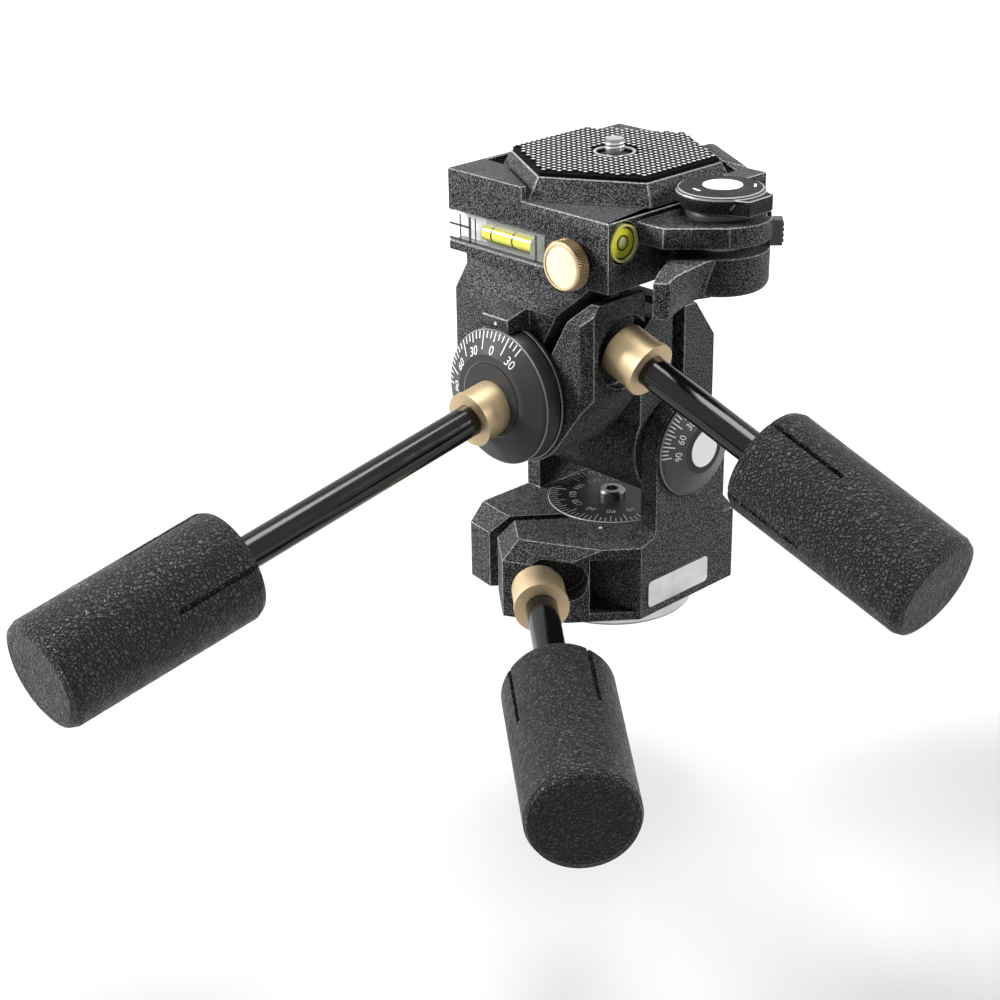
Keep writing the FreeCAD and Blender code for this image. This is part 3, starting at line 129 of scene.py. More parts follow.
def make_floor():
    """Pale floor that keeps the shadow near the head, plain white far off, clear from below."""
    mesh = bpy.data.meshes.new("floor")
    half, low = 6.0, cad_low[2] - FLOOR_DROP
    mesh.from_pydata([(-half, -half, low), (half, -half, low), (half, half, low),
                      (-half, half, low)], [], [(0, 1, 2, 3)])
    floor = linked("floor", mesh)
    look, tree, shader = new_look("floor_white", (0.45, 0.45, 0.45), 0.9, specular=0.0)
    shader.inputs["Emission Color"].default_value = (1, 1, 1, 1)
    coords = tree.nodes.new("ShaderNodeTexCoord")
    reach = tree.nodes.new("ShaderNodeVectorMath")
    reach.operation = "LENGTH"
    tree.links.new(coords.outputs["Object"], reach.inputs[0])
    glow = tree.nodes.new("ShaderNodeMath")
    glow.operation = "MULTIPLY"
    tree.links.new(seen_directly(tree), glow.inputs[0])
    tree.links.new(ranged(tree, reach.outputs["Value"], 0.22, 1.0, 0.25, 0.8), glow.inputs[1])
    tree.links.new(glow.outputs[0], shader.inputs["Emission Strength"])
    side = tree.nodes.new("ShaderNodeNewGeometry")
    tree.links.new(ranged(tree, side.outputs["Backfacing"], 1.0, 0.0),
                   shader.inputs["Alpha"])
    mesh.materials.append(look)


def make_studio():
    """Plain view transform, white surroundings and three soft lights."""
    bpy.context.scene.view_settings.view_transform = "Standard"
    make_world()
    make_floor()
    centre = (0.0, -0.02, 0.09)
    area_light("key_left", (-0.95, -0.85, 0.75), centre, 0.4, 36.0)
    area_light("key_right", (0.95, 0.85, 0.75), centre, 0.4, 17.0)
    area_light("top", (-0.1, 0.1, 1.35), centre, 0.6, 15.0)


# ---------------------------------------------------------------- materials

def new_look(name, colour, roughness, metallic=0.0, coat=0.0, specular=0.5):
    """Material with its tree and shader; what is the same all over sits on the sockets."""
    look = bpy.data.materials.new(name)
    look.use_nodes = True
    shader = look.node_tree.nodes["Principled BSDF"]
    shader.inputs["Base Color"].default_value = (*colour, 1)
    shader.inputs["Roughness"].default_value = roughness
    shader.inputs["Metallic"].default_value = metallic
    shader.inputs["Coat Weight"].default_value = coat
    shader.inputs["Coat Roughness"].default_value = 0.08
    shader.inputs["Specular IOR Level"].default_value = specular
    return look, look.node_tree, shader


def place_coords(tree, scale=(1, 1, 1)):
    """Coordinates fixed to the piece, in metres, times a scale."""
    coords = tree.nodes.new("ShaderNodeTexCoord")
    mapping = tree.nodes.new("ShaderNodeMapping")
    mapping.inputs["Scale"].default_value = scale
    tree.links.new(coords.outputs["Object"], mapping.inputs["Vector"])
    return mapping.outputs["Vector"]


def noise(tree, vector, scale, detail=2.0, rough=0.5):
    """Value of a noise texture; scale is in cells per metre."""
    node = tree.nodes.new("ShaderNodeTexNoise")
    node.inputs["Scale"].default_value = scale
    node.inputs["Detail"].default_value = detail
    node.inputs["Roughness"].default_value = rough
    tree.links.new(vector, node.inputs["Vector"])
    return node.outputs["Fac"]


def ranged(tree, value, low, high, start=0.0, end=1.0):
    """Value that goes from low to high while the given one goes from start to end."""
    node = tree.nodes.new("ShaderNodeMapRange")
    node.inputs["From Min"].default_value = start
    node.inputs["From Max"].default_value = end
    node.inputs["To Min"].default_value = low
    node.inputs["To Max"].default_value = high
    tree.links.new(value, node.inputs["Value"])
    return node.outputs["Result"]


def colour_between(tree, value, first, second, start=0.3, end=0.7):
    """Colour that goes from the first to the second while the value goes from start to end."""
    ramp = tree.nodes.new("ShaderNodeValToRGB")
    ramp.color_ramp.elements[0].position = start
    ramp.color_ramp.elements[0].color = (*first, 1)
    ramp.color_ramp.elements[1].position = end
    ramp.color_ramp.elements[1].color = (*second, 1)
    tree.links.new(value, ramp.inputs["Fac"])
    return ramp.outputs["Color"]


def bump(tree, shader, height, distance, strength=1.0, below=None):
    """Fine relief on the shader, on top of the relief below it where one is given."""
    node = tree.nodes.new("ShaderNodeBump")
    node.inputs["Distance"].default_value = distance
    node.inputs["Strength"].default_value = strength
    tree.links.new(height, node.inputs["Height"])
    if below is not None:
        tree.links.new(below, node.inputs["Normal"])
    tree.links.new(node.outputs["Normal"], shader.inputs["Normal"])
    return node.outputs["Normal"]


def wrinkle_coat(name, dark, light):
    """Fine wrinkled powder coat over a casting; its light speckles are partly flecks in the
    coat and partly painted glints on the wrinkles.
    """
    grain, roughness = 2100.0, 0.5
    look, tree, shader = new_look(name, light, roughness, specular=0.07)
    vector = place_coords(tree)
    fine = noise(tree, vector, grain, 2.0, 0.55)
    broad = noise(tree, vector, 60.0, 4.0, 0.6)
    # light speckles: partly the coat's own flecks, partly painted glints on the wrinkle tops
    tree.links.new(colour_between(tree, fine, dark, light, 0.45, 0.68),
                   shader.inputs["Base Color"])
    tree.links.new(ranged(tree, broad, roughness - 0.08, roughness + 0.1, 0.3, 0.7),
                   shader.inputs["Roughness"])
    bump(tree, shader, fine, 0.0003, 1.0)
    return look


def turned_metal(name, colour, roughness):
    """Machined metal with faint tool rings and handling smudges."""
    ring_scale, ring_depth = (60, 60, 2600), 0.00002
    look, tree, shader = new_look(name, colour, roughness, metallic=1.0)
    rings = noise(tree, place_coords(tree, ring_scale), 1.0, 2.0, 0.5)
    smudge = noise(tree, place_coords(tree), 90.0, 3.0, 0.6)
    darker = tuple(part * 0.78 for part in colour)
    tree.links.new(colour_between(tree, smudge, darker, colour), shader.inputs["Base Color"])
    tree.links.new(ranged(tree, smudge, roughness - 0.06, roughness + 0.08, 0.3, 0.7),
                   shader.inputs["Roughness"])
    bump(tree, shader, rings, ring_depth, 0.6)
    return look


def leather_grain(name):
    """Moulded rubber with a pebbled leather grain, its cells pushed out of shape by noise and
    their borders darkened with painted shade.
    """
    look, tree, shader = new_look(name, (0.012, 0.012, 0.012), 0.42, specular=0.16)
    vector = place_coords(tree)
    warp = noise(tree, vector, 260.0, 2.0, 0.5)
    push = tree.nodes.new("ShaderNodeTexNoise")
    push.inputs["Scale"].default_value = 420.0
    tree.links.new(vector, push.inputs["Vector"])
    moved = tree.nodes.new("ShaderNodeVectorMath")
    moved.operation = "MULTIPLY_ADD"
    moved.inputs[1].default_value = (0.003, 0.003, 0.003)
    tree.links.new(push.outputs["Color"], moved.inputs[0])
    tree.links.new(vector, moved.inputs[2])
    cells = tree.nodes.new("ShaderNodeTexVoronoi")
    cells.feature = "DISTANCE_TO_EDGE"
    cells.inputs["Scale"].default_value = 700.0
    tree.links.new(moved.outputs["Vector"], cells.inputs["Vector"])
    edge = ranged(tree, cells.outputs["Distance"], 0.0, 1.0, 0.0, 0.34)
    # the dark cell borders are painted shade in the grain's creases, on top of the bump there
    tree.links.new(colour_between(tree, edge, (0.002, 0.002, 0.002), (0.06, 0.061, 0.066),
                                  0.1, 0.9), shader.inputs["Base Color"])
    tree.links.new(ranged(tree, warp, 0.3, 0.5, 0.3, 0.7), shader.inputs["Roughness"])
    lower = bump(tree, shader, edge, 0.0005, 1.0)
    bump(tree, shader, warp, 0.0002, 0.5, lower)
    return look


def smooth_plastic(name, colour, roughness=0.35, coat=0.0, specular=0.5, speckle=0.8):
    """Satin or gloss surface with a slight haze and fine orange peel."""
    look, tree, shader = new_look(name, colour, roughness, coat=coat, specular=specular)
    vector = place_coords(tree)
    haze = noise(tree, vector, 130.0, 3.0, 0.6)
    fine = noise(tree, vector, 2200.0, 1.0)
    darker = tuple(part * speckle for part in colour)
    tree.links.new(colour_between(tree, fine, darker, colour), shader.inputs["Base Color"])
    tree.links.new(ranged(tree, haze, roughness - 0.04, roughness + 0.06, 0.3, 0.7),
                   shader.inputs["Roughness"])
    bump(tree, shader, fine, 0.00003, 0.4)
    return look


def clear_plastic(name, colour, alpha):
    """Clear moulded block, seen through for the most part."""
    look = smooth_plastic(name, colour, 0.08, coat=0.4)
    look.node_tree.nodes["Principled BSDF"].inputs["Alpha"].default_value = alpha
    return look


LOOKS = {
    "coat": wrinkle_coat("wrinkle_coat", (0.0025, 0.0026, 0.003), (0.19, 0.194, 0.204)),
    # the pale coat on the rounded edges is a painted edge highlight
    "coat_edge_highlight": wrinkle_coat("painted_edge_highlight_on_coat", (0.16, 0.16, 0.163), (0.62, 0.62, 0.63)),
    "dark_coat": wrinkle_coat("dark_coat", (0.004, 0.004, 0.005), (0.05, 0.05, 0.053)),
    "scale": smooth_plastic("scale_black", (0.011, 0.011, 0.012), 0.42, specular=0.2),
    # the pale grey on the rounded edges of the dark plastics is a painted edge highlight
    "scale_edge_highlight": smooth_plastic("scale_edge_highlight", (0.3, 0.3, 0.31), 0.35),
    "face": smooth_plastic("disc_face", (0.03, 0.031, 0.034), 0.45, specular=0.2),
    "drum": smooth_plastic("drum_charcoal", (0.036, 0.037, 0.04), 0.45, specular=0.2),
    "faint": smooth_plastic("mark_faint", (0.3, 0.3, 0.3), 0.5, speckle=0.7),
    "grey": smooth_plastic("dial_grey", (0.072, 0.073, 0.078), 0.45, specular=0.25),
    "white": smooth_plastic("plate_white", (0.8, 0.8, 0.8), 0.45, speckle=0.94),
    "mark": smooth_plastic("mark_white", (0.78, 0.78, 0.77), 0.5, speckle=0.9),
    "black": smooth_plastic("line_black", (0.008, 0.008, 0.008), 0.45),
    "plastic": smooth_plastic("black_plastic", (0.018, 0.018, 0.019), 0.4),
    "level_back": smooth_plastic("level_back", (0.3, 0.31, 0.29), 0.5, speckle=0.6),
    "clear": clear_plastic("clear_block", (0.86, 0.9, 0.88), 0.22),
    "vial": smooth_plastic("vial_yellow", (0.72, 0.68, 0.03), 0.12, coat=0.8, speckle=0.9),
    "level_disc": smooth_plastic("level_disc", (0.95, 0.92, 0.05), 0.3, coat=0.3, speckle=0.9),
    "bubble": smooth_plastic("bubble_pale", (0.78, 0.82, 0.45), 0.1, coat=0.8, speckle=0.95),
    "olive": smooth_plastic("cup_olive", (0.72, 0.7, 0.22), 0.25, coat=0.4),
    "brass": turned_metal("brass_parts", (0.56, 0.44, 0.27), 0.5),
    "knurl": turned_metal("brass_knurl", (0.3, 0.21, 0.11), 0.35),
    "cream": turned_metal("brass_dish", (0.85, 0.72, 0.5), 0.5),
    "dark_steel": turned_metal("dark_steel", (0.2, 0.2, 0.205), 0.3),
    "steel": turned_metal("steel", (0.6, 0.6, 0.6), 0.32),
    "aluminium": turned_metal("bare_aluminium", (0.64, 0.64, 0.65), 0.38),
    "pad": smooth_plastic("pad_rubber", (0.004, 0.004, 0.004), 0.8, specular=0.05),
    # pale grey for the bump tops of the black pad: a painted highlight
    "bump_top_highlight": smooth_plastic("pad_bumps", (0.5, 0.5, 0.51), 0.5, specular=0.4),
    "rod": smooth_plastic("rod_black", (0.003, 0.003, 0.0035), 0.13, specular=0.3),
    "grip": leather_grain("grip_rubber"),
}

# look of the surface, look of its edges with a painted highlight (none where the edges are left
# as they are)
NODE_LOOKS = {
    "base_plate": ("aluminium", "dark_steel"), "pan_spindle": ("aluminium", None),
    "thrust_washer": ("plastic", None), "pan_scale_disc": ("scale", "scale_edge_highlight"),
    "spindle_screw": ("dark_steel", None), "lower_casting": ("coat", "coat_edge_highlight"),
    "side_plate": ("aluminium", None), "tilt_trunnion": ("dark_coat", None),
    "middle_casting": ("coat", "coat_edge_highlight"), "tilt_scale_dial": ("grey", "scale_edge_highlight"),
    "dial_screw": ("steel", None), "dial_cap": ("white", None),
    "lateral_shaft": ("dark_coat", None), "lateral_washer": ("scale", "scale_edge_highlight"),
    "lateral_scale_disc": ("drum", "scale_edge_highlight"), "platform_casting": ("coat", "coat_edge_highlight"),
    "level_block": ("clear", None), "level_vial": ("vial", None),
    "round_level_cup": ("olive", None), "round_level_lens": ("vial", None),
    "thumb_screw": ("brass", None), "release_lever": ("coat", "coat_edge_highlight"),
    "lever_post": ("plastic", "scale_edge_highlight"), "lever_spring": ("steel", None),
    "lever_cap": ("dark_coat", "scale_edge_highlight"), "safety_catch": ("plastic", None),
    "camera_plate": ("coat", "coat_edge_highlight"), "plate_pad": ("pad", None),
    "camera_screw": ("steel", None),
}


def round_edges(item, edge_look, width=0.35, merge_flats=False):
    """Small radius along the sharp edges, in its own lighter look, a painted edge highlight."""
    item.data.materials.append(LOOKS[edge_look])
    weld = item.modifiers.new("weld", "WELD")
    weld.merge_threshold = 0.000002
    if merge_flats:
        flat = item.modifiers.new("flat", "DECIMATE")
        flat.decimate_type = "DISSOLVE"
        flat.angle_limit = math.radians(0.5)
    edge = item.modifiers.new("edge", "BEVEL")
    edge.limit_method = "ANGLE"
    edge.angle_limit = math.radians(38)
    edge.width = width * MM
    edge.segments = 1
    edge.material = 1
    edge.use_clamp_overlap = False
    edge.harden_normals = True


def dress_nodes():
    """Looks and rounded edges of the CAD pieces."""
    for axis in ("pan", "tilt", "lateral"):
        NODE_LOOKS.update({f"{axis}_collar": ("brass", None),
                           f"{axis}_clamp_screw": ("steel", None),
                           f"{axis}_rod": ("rod", None), f"{axis}_grip": ("grip", None)})
    for name, node in nodes.items():
        look, edge_look = NODE_LOOKS[name]
        node.data.materials.clear()
        node.data.materials.append(LOOKS[look])
        if edge_look:
            width = 0.2 if name == "lower_casting" else 0.35
            round_edges(node, edge_look, width, merge_flats=look == "coat")


# ---------------------------------------------------------------- small pieces in mesh code

def finished_mesh(name, bm):
    """Mesh in metres, with its faces outward, from one written in millimetres."""
    bmesh.ops.recalc_face_normals(bm, faces=bm.faces)
    bmesh.ops.scale(bm, vec=(MM, MM, MM), verts=bm.verts)
    mesh = bpy.data.meshes.new(name)
    bm.to_mesh(mesh)
    bm.free()
    return mesh


def linked(name, mesh):
    """Object of a mesh, in the scene."""
    item = bpy.data.objects.new(name, mesh)
    bpy.context.scene.collection.objects.link(item)
    return item


def smooth(mesh):
    for polygon in mesh.polygons:
        polygon.use_smooth = True


def ride_mesh(name, mesh, body, look):
    """Object of a mesh without looks yet, which gets one and rides on a body."""
    mesh.materials.append(LOOKS[look])
    piece = linked(name, mesh)
    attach(piece, body)
    return piece


def add_piece(name, bm, body, look):
    """New piece that rides on a body, from a mesh written in millimetres."""
    return ride_mesh(name, finished_mesh(name, bm), body, look)


def add_prism(bm, outline, place, low, high):
    """Solid between two layers of a flat outline; place(u, v, lift) gives the point."""
    under = [bm.verts.new(place(u, v, low)) for u, v in outline]
    over = [bm.verts.new(place(u, v, high)) for u, v in outline]
    bm.faces.new(over)
    bm.faces.new(list(reversed(under)))
    for i in range(len(outline)):
        j = (i + 1) % len(outline)
        bm.faces.new((under[i], under[j], over[j], over[i]))


def add_figure(bm, points, faces, place, low, high):
    """Solid of a meshed flat figure, with walls along its open edges."""
    under = [bm.verts.new(place(u, v, low)) for u, v in points]
    over = [bm.verts.new(place(u, v, high)) for u, v in points]
    edges = set()
    for face in faces:
        bm.faces.new([over[i] for i in face])
        bm.faces.new([under[i] for i in reversed(face)])
        edges.update(zip(face, face[1:] + face[:1]))
    for a, b in sorted(edges):
        if (b, a) not in edges:
            bm.faces.new((under[a], under[b], over[b], over[a]))


def figure_mesh(text, height):
    """Flat mesh of a plain number, centred on the origin."""
    digit_share = 0.7  # height of a digit in the built-in font at size 1
    curve = bpy.data.curves.new("figure", "FONT")
    curve.body = text
    curve.size = height / digit_share
    curve.align_x = "CENTER"
    curve.resolution_u = 3
    item = linked("figure", curve)
    mesh = bpy.data.meshes.new_from_object(item)
    points = [(v.co.x, v.co.y - height / 2) for v in mesh.vertices]
    faces = [tuple(p.vertices) for p in mesh.polygons]
    bpy.data.objects.remove(item)
    bpy.data.meshes.remove(mesh)
    return points, faces


def bar(width, low, high):
    """Outline of a straight bar along v."""
    half = width / 2
    return [(-half, low), (half, low), (half, high), (-half, high)]


def circle_points(radius, count, u=0.0, v=0.0):
    return [(u + radius * math.cos(FULL_TURN * i / count),
             v + radius * math.sin(FULL_TURN * i / count)) for i in range(count)]


def add_ring(bm, inner, outer, place, low, high, count=64):
    """Flat ring between two radii."""
    layers = []
    for lift in (low, high):
        layers.append([[bm.verts.new(place(*p, lift)) for p in circle_points(r, count)]
                       for r in (inner, outer)])
    (under_in, under_out), (over_in, over_out) = layers
    for i in range(count):
        j = (i + 1) % count
        for a, b in ((over_in, over_out), (under_out, under_in), (over_out, under_out),
                     (under_in, over_in)):
            bm.faces.new((a[i], b[i], b[j], a[j]))


def add_arc(bm, radius, width, start, end, place, low, high):
    """Short curved bar about the local origin, between two angles in degrees."""
    count = 12
    angles = [math.radians(start + (end - start) * i / count) for i in range(count + 1)]
    points = [(r * math.cos(a), r * math.sin(a)) for a in angles
              for r in (radius - width / 2, radius + width / 2)]
    faces = [(2 * i, 2 * i + 1, 2 * i + 3, 2 * i + 2) for i in range(count)]
    add_figure(bm, points, faces, place, low, high)


def add_helix(bm, radius, ridge, pitch, low, high):
    """Thread ridge about Z: positive ridge stands out, negative stands in."""
    steps, run_out, sink, half_foot = 24, 6, 0.05, pitch * 0.42
    turns = (high - low) / pitch
    count = int(turns * steps)
    last = None
    for i in range(count + 1):
        angle = FULL_TURN * i / steps
        z = low + (high - low) * i / count
        fade = min(1.0, i / run_out, (count - i) / run_out)
        c, s = math.cos(angle), math.sin(angle)
        inside = radius - sink * math.copysign(1, ridge)
        tip = radius + ridge * fade
        rung = [bm.verts.new((inside * c, inside * s, z - half_foot)),
                bm.verts.new((tip * c, tip * s, z)),
                bm.verts.new((inside * c, inside * s, z + half_foot))]
        if last:
            for a in range(3):
                b = (a + 1) % 3
                bm.faces.new((last[a], last[b], rung[b], rung[a]))
        else:
            bm.faces.new(rung)
        last = rung
    bm.faces.new(last)


# ---------------------------------------------------------------- scales

def on_lateral_disc(angle):
    """Place on the coned face of the lateral disc; angle clockwise from the top."""
    s, c = math.sin(angle), math.cos(angle)
    rim_y, rim_radius, cone_width, cone_height = 56.8, 23.8, 8.1, 3.5

    def place(u, v, lift):
        radius = math.hypot(u, v)
        y = -(rim_y + (rim_radius - radius) / cone_width * cone_height) - lift
        return v * s + u * c, y, LATERAL_AXIS_Z + v * c - u * s
    return place


def on_pan_disc(angle):
    """Place on the flat pan scale; v runs outward."""
    s, c = math.sin(angle), math.cos(angle)
    top = 38.7
    return lambda u, v, lift: (v * c - u * s, v * s + u * c, top + lift)


def on_tilt_dial(angle):
    """Place on the coned tilt dial; angle from the top toward the back."""
    s, c = math.sin(angle), math.cos(angle)
    rim_x, rim_radius, cone_width, cone_height = 39.5, 18, 9, 4

    def place(u, v, lift):
        radius = math.hypot(u, v)
        x = rim_x + (rim_radius - radius) / cone_width * cone_height + lift
        return x, v * s + u * c, TILT_AXIS_Z + v * c - u * s
    return place


def add_scale(bm, spot, ticks, numbers, width, figure_height, number_radius, flip=False):
    """Ticks (angle, inner, outer) and numbers (angle, text) on one scale."""
    for angle, inner, outer in ticks:
        add_prism(bm, bar(width, inner, outer), spot(math.radians(angle)), MARK_SINK, MARK_TOP)
    for angle, text in numbers:
        points, faces = figure_mesh(text, figure_height)
        turn = -1 if flip else 1
        moved = [(u, number_radius + v * turn) for u, v in points]
        if flip:
            moved = [(-u, v) for u, v in moved]
        add_figure(bm, moved, faces, spot(math.radians(angle)), MARK_SINK, MARK_TOP)


def scale_ticks(angles, at_15, at_30, between, outer, shift=0):
    """Ticks whose inner radius depends on where they stand in each 30 degrees."""
    inner = {15: at_15, 0: at_30}
    return [(a + shift, inner.get(a % 30, between), outer) for a in angles]


def make_scales():
    """Ticks and plain numbers of the three scales, and the tilt dial's dark ring."""
    bm = bmesh.new()
    add_scale(bm, on_lateral_disc, scale_ticks(TILT_ANGLES, 17.4, 20.2, 21.0, 23.3),
              TILT_NUMBERS, 0.45, 3.0, 17.5)
    add_piece("lateral_scale_marks", bm, "tilt_unit", "mark")

    bm = bmesh.new()
    pan_zero = 12
    numbers = [(a + pan_zero, str(min(a, 360 - a))) for a in range(0, 360, 30)]
    add_scale(bm, on_pan_disc,
              scale_ticks(range(0, 360, 5), 17.6, 18.8, 20.0, 23.1, pan_zero),
              numbers, 0.4, 2.6, 14.4, flip=True)
    add_piece("pan_scale_marks", bm, "base", "faint")

    bm = bmesh.new()
    add_scale(bm, on_tilt_dial, scale_ticks(TILT_ANGLES, 13.4, 14.2, 15.4, 17.6),
              TILT_NUMBERS, 0.4, 2.4, 11.8)
    add_piece("tilt_scale_marks", bm, "tilt_unit", "mark")

    bm = bmesh.new()
    face_x = 43.5
    add_ring(bm, 6.7, 9.0, lambda u, v, lift: (face_x + lift, u, TILT_AXIS_Z + v),
             -0.02, 0.06)
    add_piece("dial_dark_ring", bm, "tilt_unit", "scale")


def make_dots():
    """White pointer dots beside the lateral scale and the pan scale."""
    for name, body, radius, place in (
            ("lateral_pointer", "platform", 0.6,
             lambda u, v, lift: (0.2 + u, -57.6 - lift, 120 + v)),
            ("pan_pointer", "pan_unit", 0.7,
             lambda u, v, lift: (16.1 + u, -23.1 + v, 38.4 + lift))):
        bm = bmesh.new()
        add_prism(bm, circle_points(radius, 20), place, MARK_SINK, 0.1)
        add_piece(name, bm, body, "mark")


# ---------------------------------------------------------------- levels, screws and lever

def make_long_level():
    """Backing, end marks and vial lines of the long level."""
    back_y, front_y, low, high = -37.6, -42.86, 138.5, 148.5
    for name, start, end, look in (("level_end_backing", -37.6, -24.2, "white"),
                                   ("level_backing", -24.2, 8.5, "level_back")):
        bm = bmesh.new()
        add_prism(bm, [(start, low), (end, low), (end, high), (start, high)],
                  lambda u, v, lift: (u, back_y - lift, v), 0, 0.35)
        add_piece(name, bm, "platform", look)
    bm = bmesh.new()
    for x, width in ((-32.0, 0.5), (-27.2, 1.1), (-24.4, 0.5), (4.9, 0.9)):
        add_prism(bm, bar(width, 138.9, 148.1),
                  lambda u, v, lift, x=x: (x + u, front_y - lift, v), 0, 0.2)
    for start, end, z, width in ((-37.4, -27.2, 143.9, 0.7), (-37.4, 8.2, 138.6, 0.9)):
        add_prism(bm, [(start, z), (end, z), (end, z + width), (start, z + width)],
                  lambda u, v, lift: (u, front_y - lift, v), 0, 0.2)
    add_piece("level_end_lines", bm, "platform", "black")
    bm = bmesh.new()
    for x in (-17.0, -6.8):
        add_ring(bm, 2.8, 3.0, lambda u, v, lift, x=x: (x + lift, -40 + u, 143.5 + v),
                 -0.28, 0.28, count=40)
    add_piece("vial_lines", bm, "platform", "black")
    bm = bmesh.new()
    bmesh.ops.create_uvsphere(bm, u_segments=28, v_segments=16, radius=1)
    bmesh.ops.scale(bm, vec=(4.3, 1.5, 1.5), verts=bm.verts)
    bmesh.ops.translate(bm, vec=(-12.0, -40.9, 144.6), verts=bm.verts)
    bubble = add_piece("vial_bubble", bm, "platform", "bubble")
    smooth(bubble.data)


def make_round_level():
    """Coloured disc with its ring line and a painted shade band round its edge, and the pale
    rim of the cup.
    """
    def face(u, v, lift):
        return 36.9 + lift, -36 + u, 150.8 + v

    bm = bmesh.new()
    add_prism(bm, circle_points(5.55, 48), face, 0, 0.5)
    disc = add_piece("round_level_disc", bm, "platform", "level_disc")
    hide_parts("round_level_lens")
    bm = bmesh.new()
    add_ring(bm, 2.1, 2.6, face, 0.45, 0.62, count=40)
    # dark band round the disc's edge: painted shade at the foot of the cup's wall
    add_ring(bm, 5.0, 5.5, face, 0.45, 0.62, count=48)
    add_piece("round_level_line_and_shade", bm, "platform", "black")
    bm = bmesh.new()
    add_ring(bm, 5.56, 6.3, face, -4.3, 1.6, count=64)
    cup = add_piece("round_level_rim", bm, "platform", "olive")
    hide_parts("round_level_cup")
    bm = bmesh.new()
    add_prism(bm, circle_points(1.5, 28, -0.2, 0.3), face, 0.45, 0.9)
    add_piece("round_level_bubble", bm, "platform", "bubble")


def make_thumb_details():
    """Knurl round the rim and the pale turned dish of the levels' thumb screw."""
    centre_x, centre_z, face_y = 23, 142.7, -49.5
    count, teeth_low, teeth_high = 56, 45.0, 49.4
    foot, tip, half_width, mean_radius = 8.2, 8.62, 0.32, 8.3
    bm = bmesh.new()
    for i in range(count):
        angle = FULL_TURN * i / count
        for twist in (-1, 1):
            points = []
            for y, turn in ((teeth_low, -0.5), (teeth_high, 0.5)):
                for offset, radius in ((-half_width, foot), (0.0, tip), (half_width, foot)):
                    a = angle + twist * turn * FULL_TURN / count * 2 + offset / mean_radius
                    points.append(bm.verts.new((centre_x + radius * math.sin(a), -y,
                                                centre_z + radius * math.cos(a))))
            low, high = points[:3], points[3:]
            bm.faces.new(low)
            bm.faces.new(high)
            for a in range(3):
                b = (a + 1) % 3
                bm.faces.new((low[a], low[b], high[b], high[a]))
    add_piece("thumb_knurl", bm, "thumb", "knurl")
    bm = bmesh.new()
    add_prism(bm, circle_points(6.95, 48),
              lambda u, v, lift: (centre_x + u, face_y - lift, centre_z + v),
              MARK_SINK, MARK_TOP)
    add_piece("thumb_dish", bm, "thumb", "cream")


def make_threads():
    """Thread ridges of the camera screw and the tripod thread, and the ring in the plate."""
    camera_pitch, tripod_pitch = 1.27, 1.5875  # 20 and 16 turns per inch
    bm = bmesh.new()
    add_helix(bm, 3.15, 0.35, camera_pitch, 168.2, 171.6)
    add_piece("camera_screw_thread", bm, "plate_screw", "steel")
    bm = bmesh.new()
    add_helix(bm, 4.8, -0.5, tripod_pitch, 1.2, 11.0)
    add_piece("tripod_thread_ridge", bm, "base", "aluminium")
    bm = bmesh.new()
    add_ring(bm, 6.3, 7.4, lambda u, v, lift: (u, v, PLATE_TOP_Z + lift), -0.05, 0.45,
             count=56)
    add_piece("plate_screw_ring", bm, "plate", "steel")


def make_pad_bumps():
    """Square lattice of small bumps over the six sided pad, their tops pale with a painted
    highlight.
    """
    pitch, foot, crown, height = 2.45, 1.8, 1.3, 0.8
    reach, clear, margin, foot_z = 36.1, 8.6, 1.0, 167.15
    flat = reach * math.cos(math.radians(30))
    bm = bmesh.new()
    count = int(reach / pitch) + 1
    for i in range(-count, count + 1):
        for j in range(-count, count + 1):
            x, y = i * pitch, j * pitch
            slanted = abs(x) * 0.5 + abs(y) * math.cos(math.radians(30))
            outside = abs(x) > flat - margin or slanted > flat - margin
            if outside or math.hypot(x, y) < clear:
                continue
            rings = []
            for half, z in ((foot / 2, foot_z), (crown / 2, PLATE_TOP_Z + height)):
                rings.append([bm.verts.new((x + a * half, y + b * half, z))
                              for a, b in ((-1, -1), (1, -1), (1, 1), (-1, 1))])
            low, high = rings
            # the bump tops take the pale look, a painted highlight from the light above
            bm.faces.new(high).material_index = 1
            bm.faces.new(list(reversed(low)))
            for a in range(4):
                b = (a + 1) % 4
                bm.faces.new((low[a], low[b], high[b], high[a]))
    bumps = add_piece("pad_bumps", bm, "plate", "pad")
    bumps.data.materials.append(LOOKS["bump_top_highlight"])


def make_lever_details():
    """Bare label and two curved marks on the lever's cap, and the catch's ridges."""
    def top(u, v, lift):
        return 50.2 + u, -2.2 + v, 165.6 + lift

    bm = bmesh.new()
    add_prism(bm, circle_points(6.6, 56), top, -0.05, 0.12)
    add_piece("cap_label", bm, "lever", "white")
    bm = bmesh.new()
    for start, end in ((-112, -92), (28, 48)):
        add_arc(bm, 10.6, 0.8, start, end, top, MARK_SINK, MARK_TOP)
    add_piece("cap_marks", bm, "lever", "mark")
    turn = math.radians(43)
    s, c = math.sin(turn), math.cos(turn)
    axis_x, axis_y, reach = 51, -4, 20.4
    bm = bmesh.new()
    for z in (147.6, 149.4, 151.2, 153.0):
        add_prism(bm, [(-2.3, z), (2.3, z), (2.3, z + 0.8), (-2.3, z + 0.8)],
                  lambda u, v, lift: (axis_x + (reach + lift) * c - u * s,
                                      axis_y + (reach + lift) * s + u * c, v), -0.1, 0.35)
    add_piece("catch_ridges", bm, "catch", "plastic")


# ---------------------------------------------------------------- castings finished by cutting

def cutter(name, bm):
    """Unseen solid for one boolean; removed after use."""
    return linked(name, finished_mesh(name, bm))


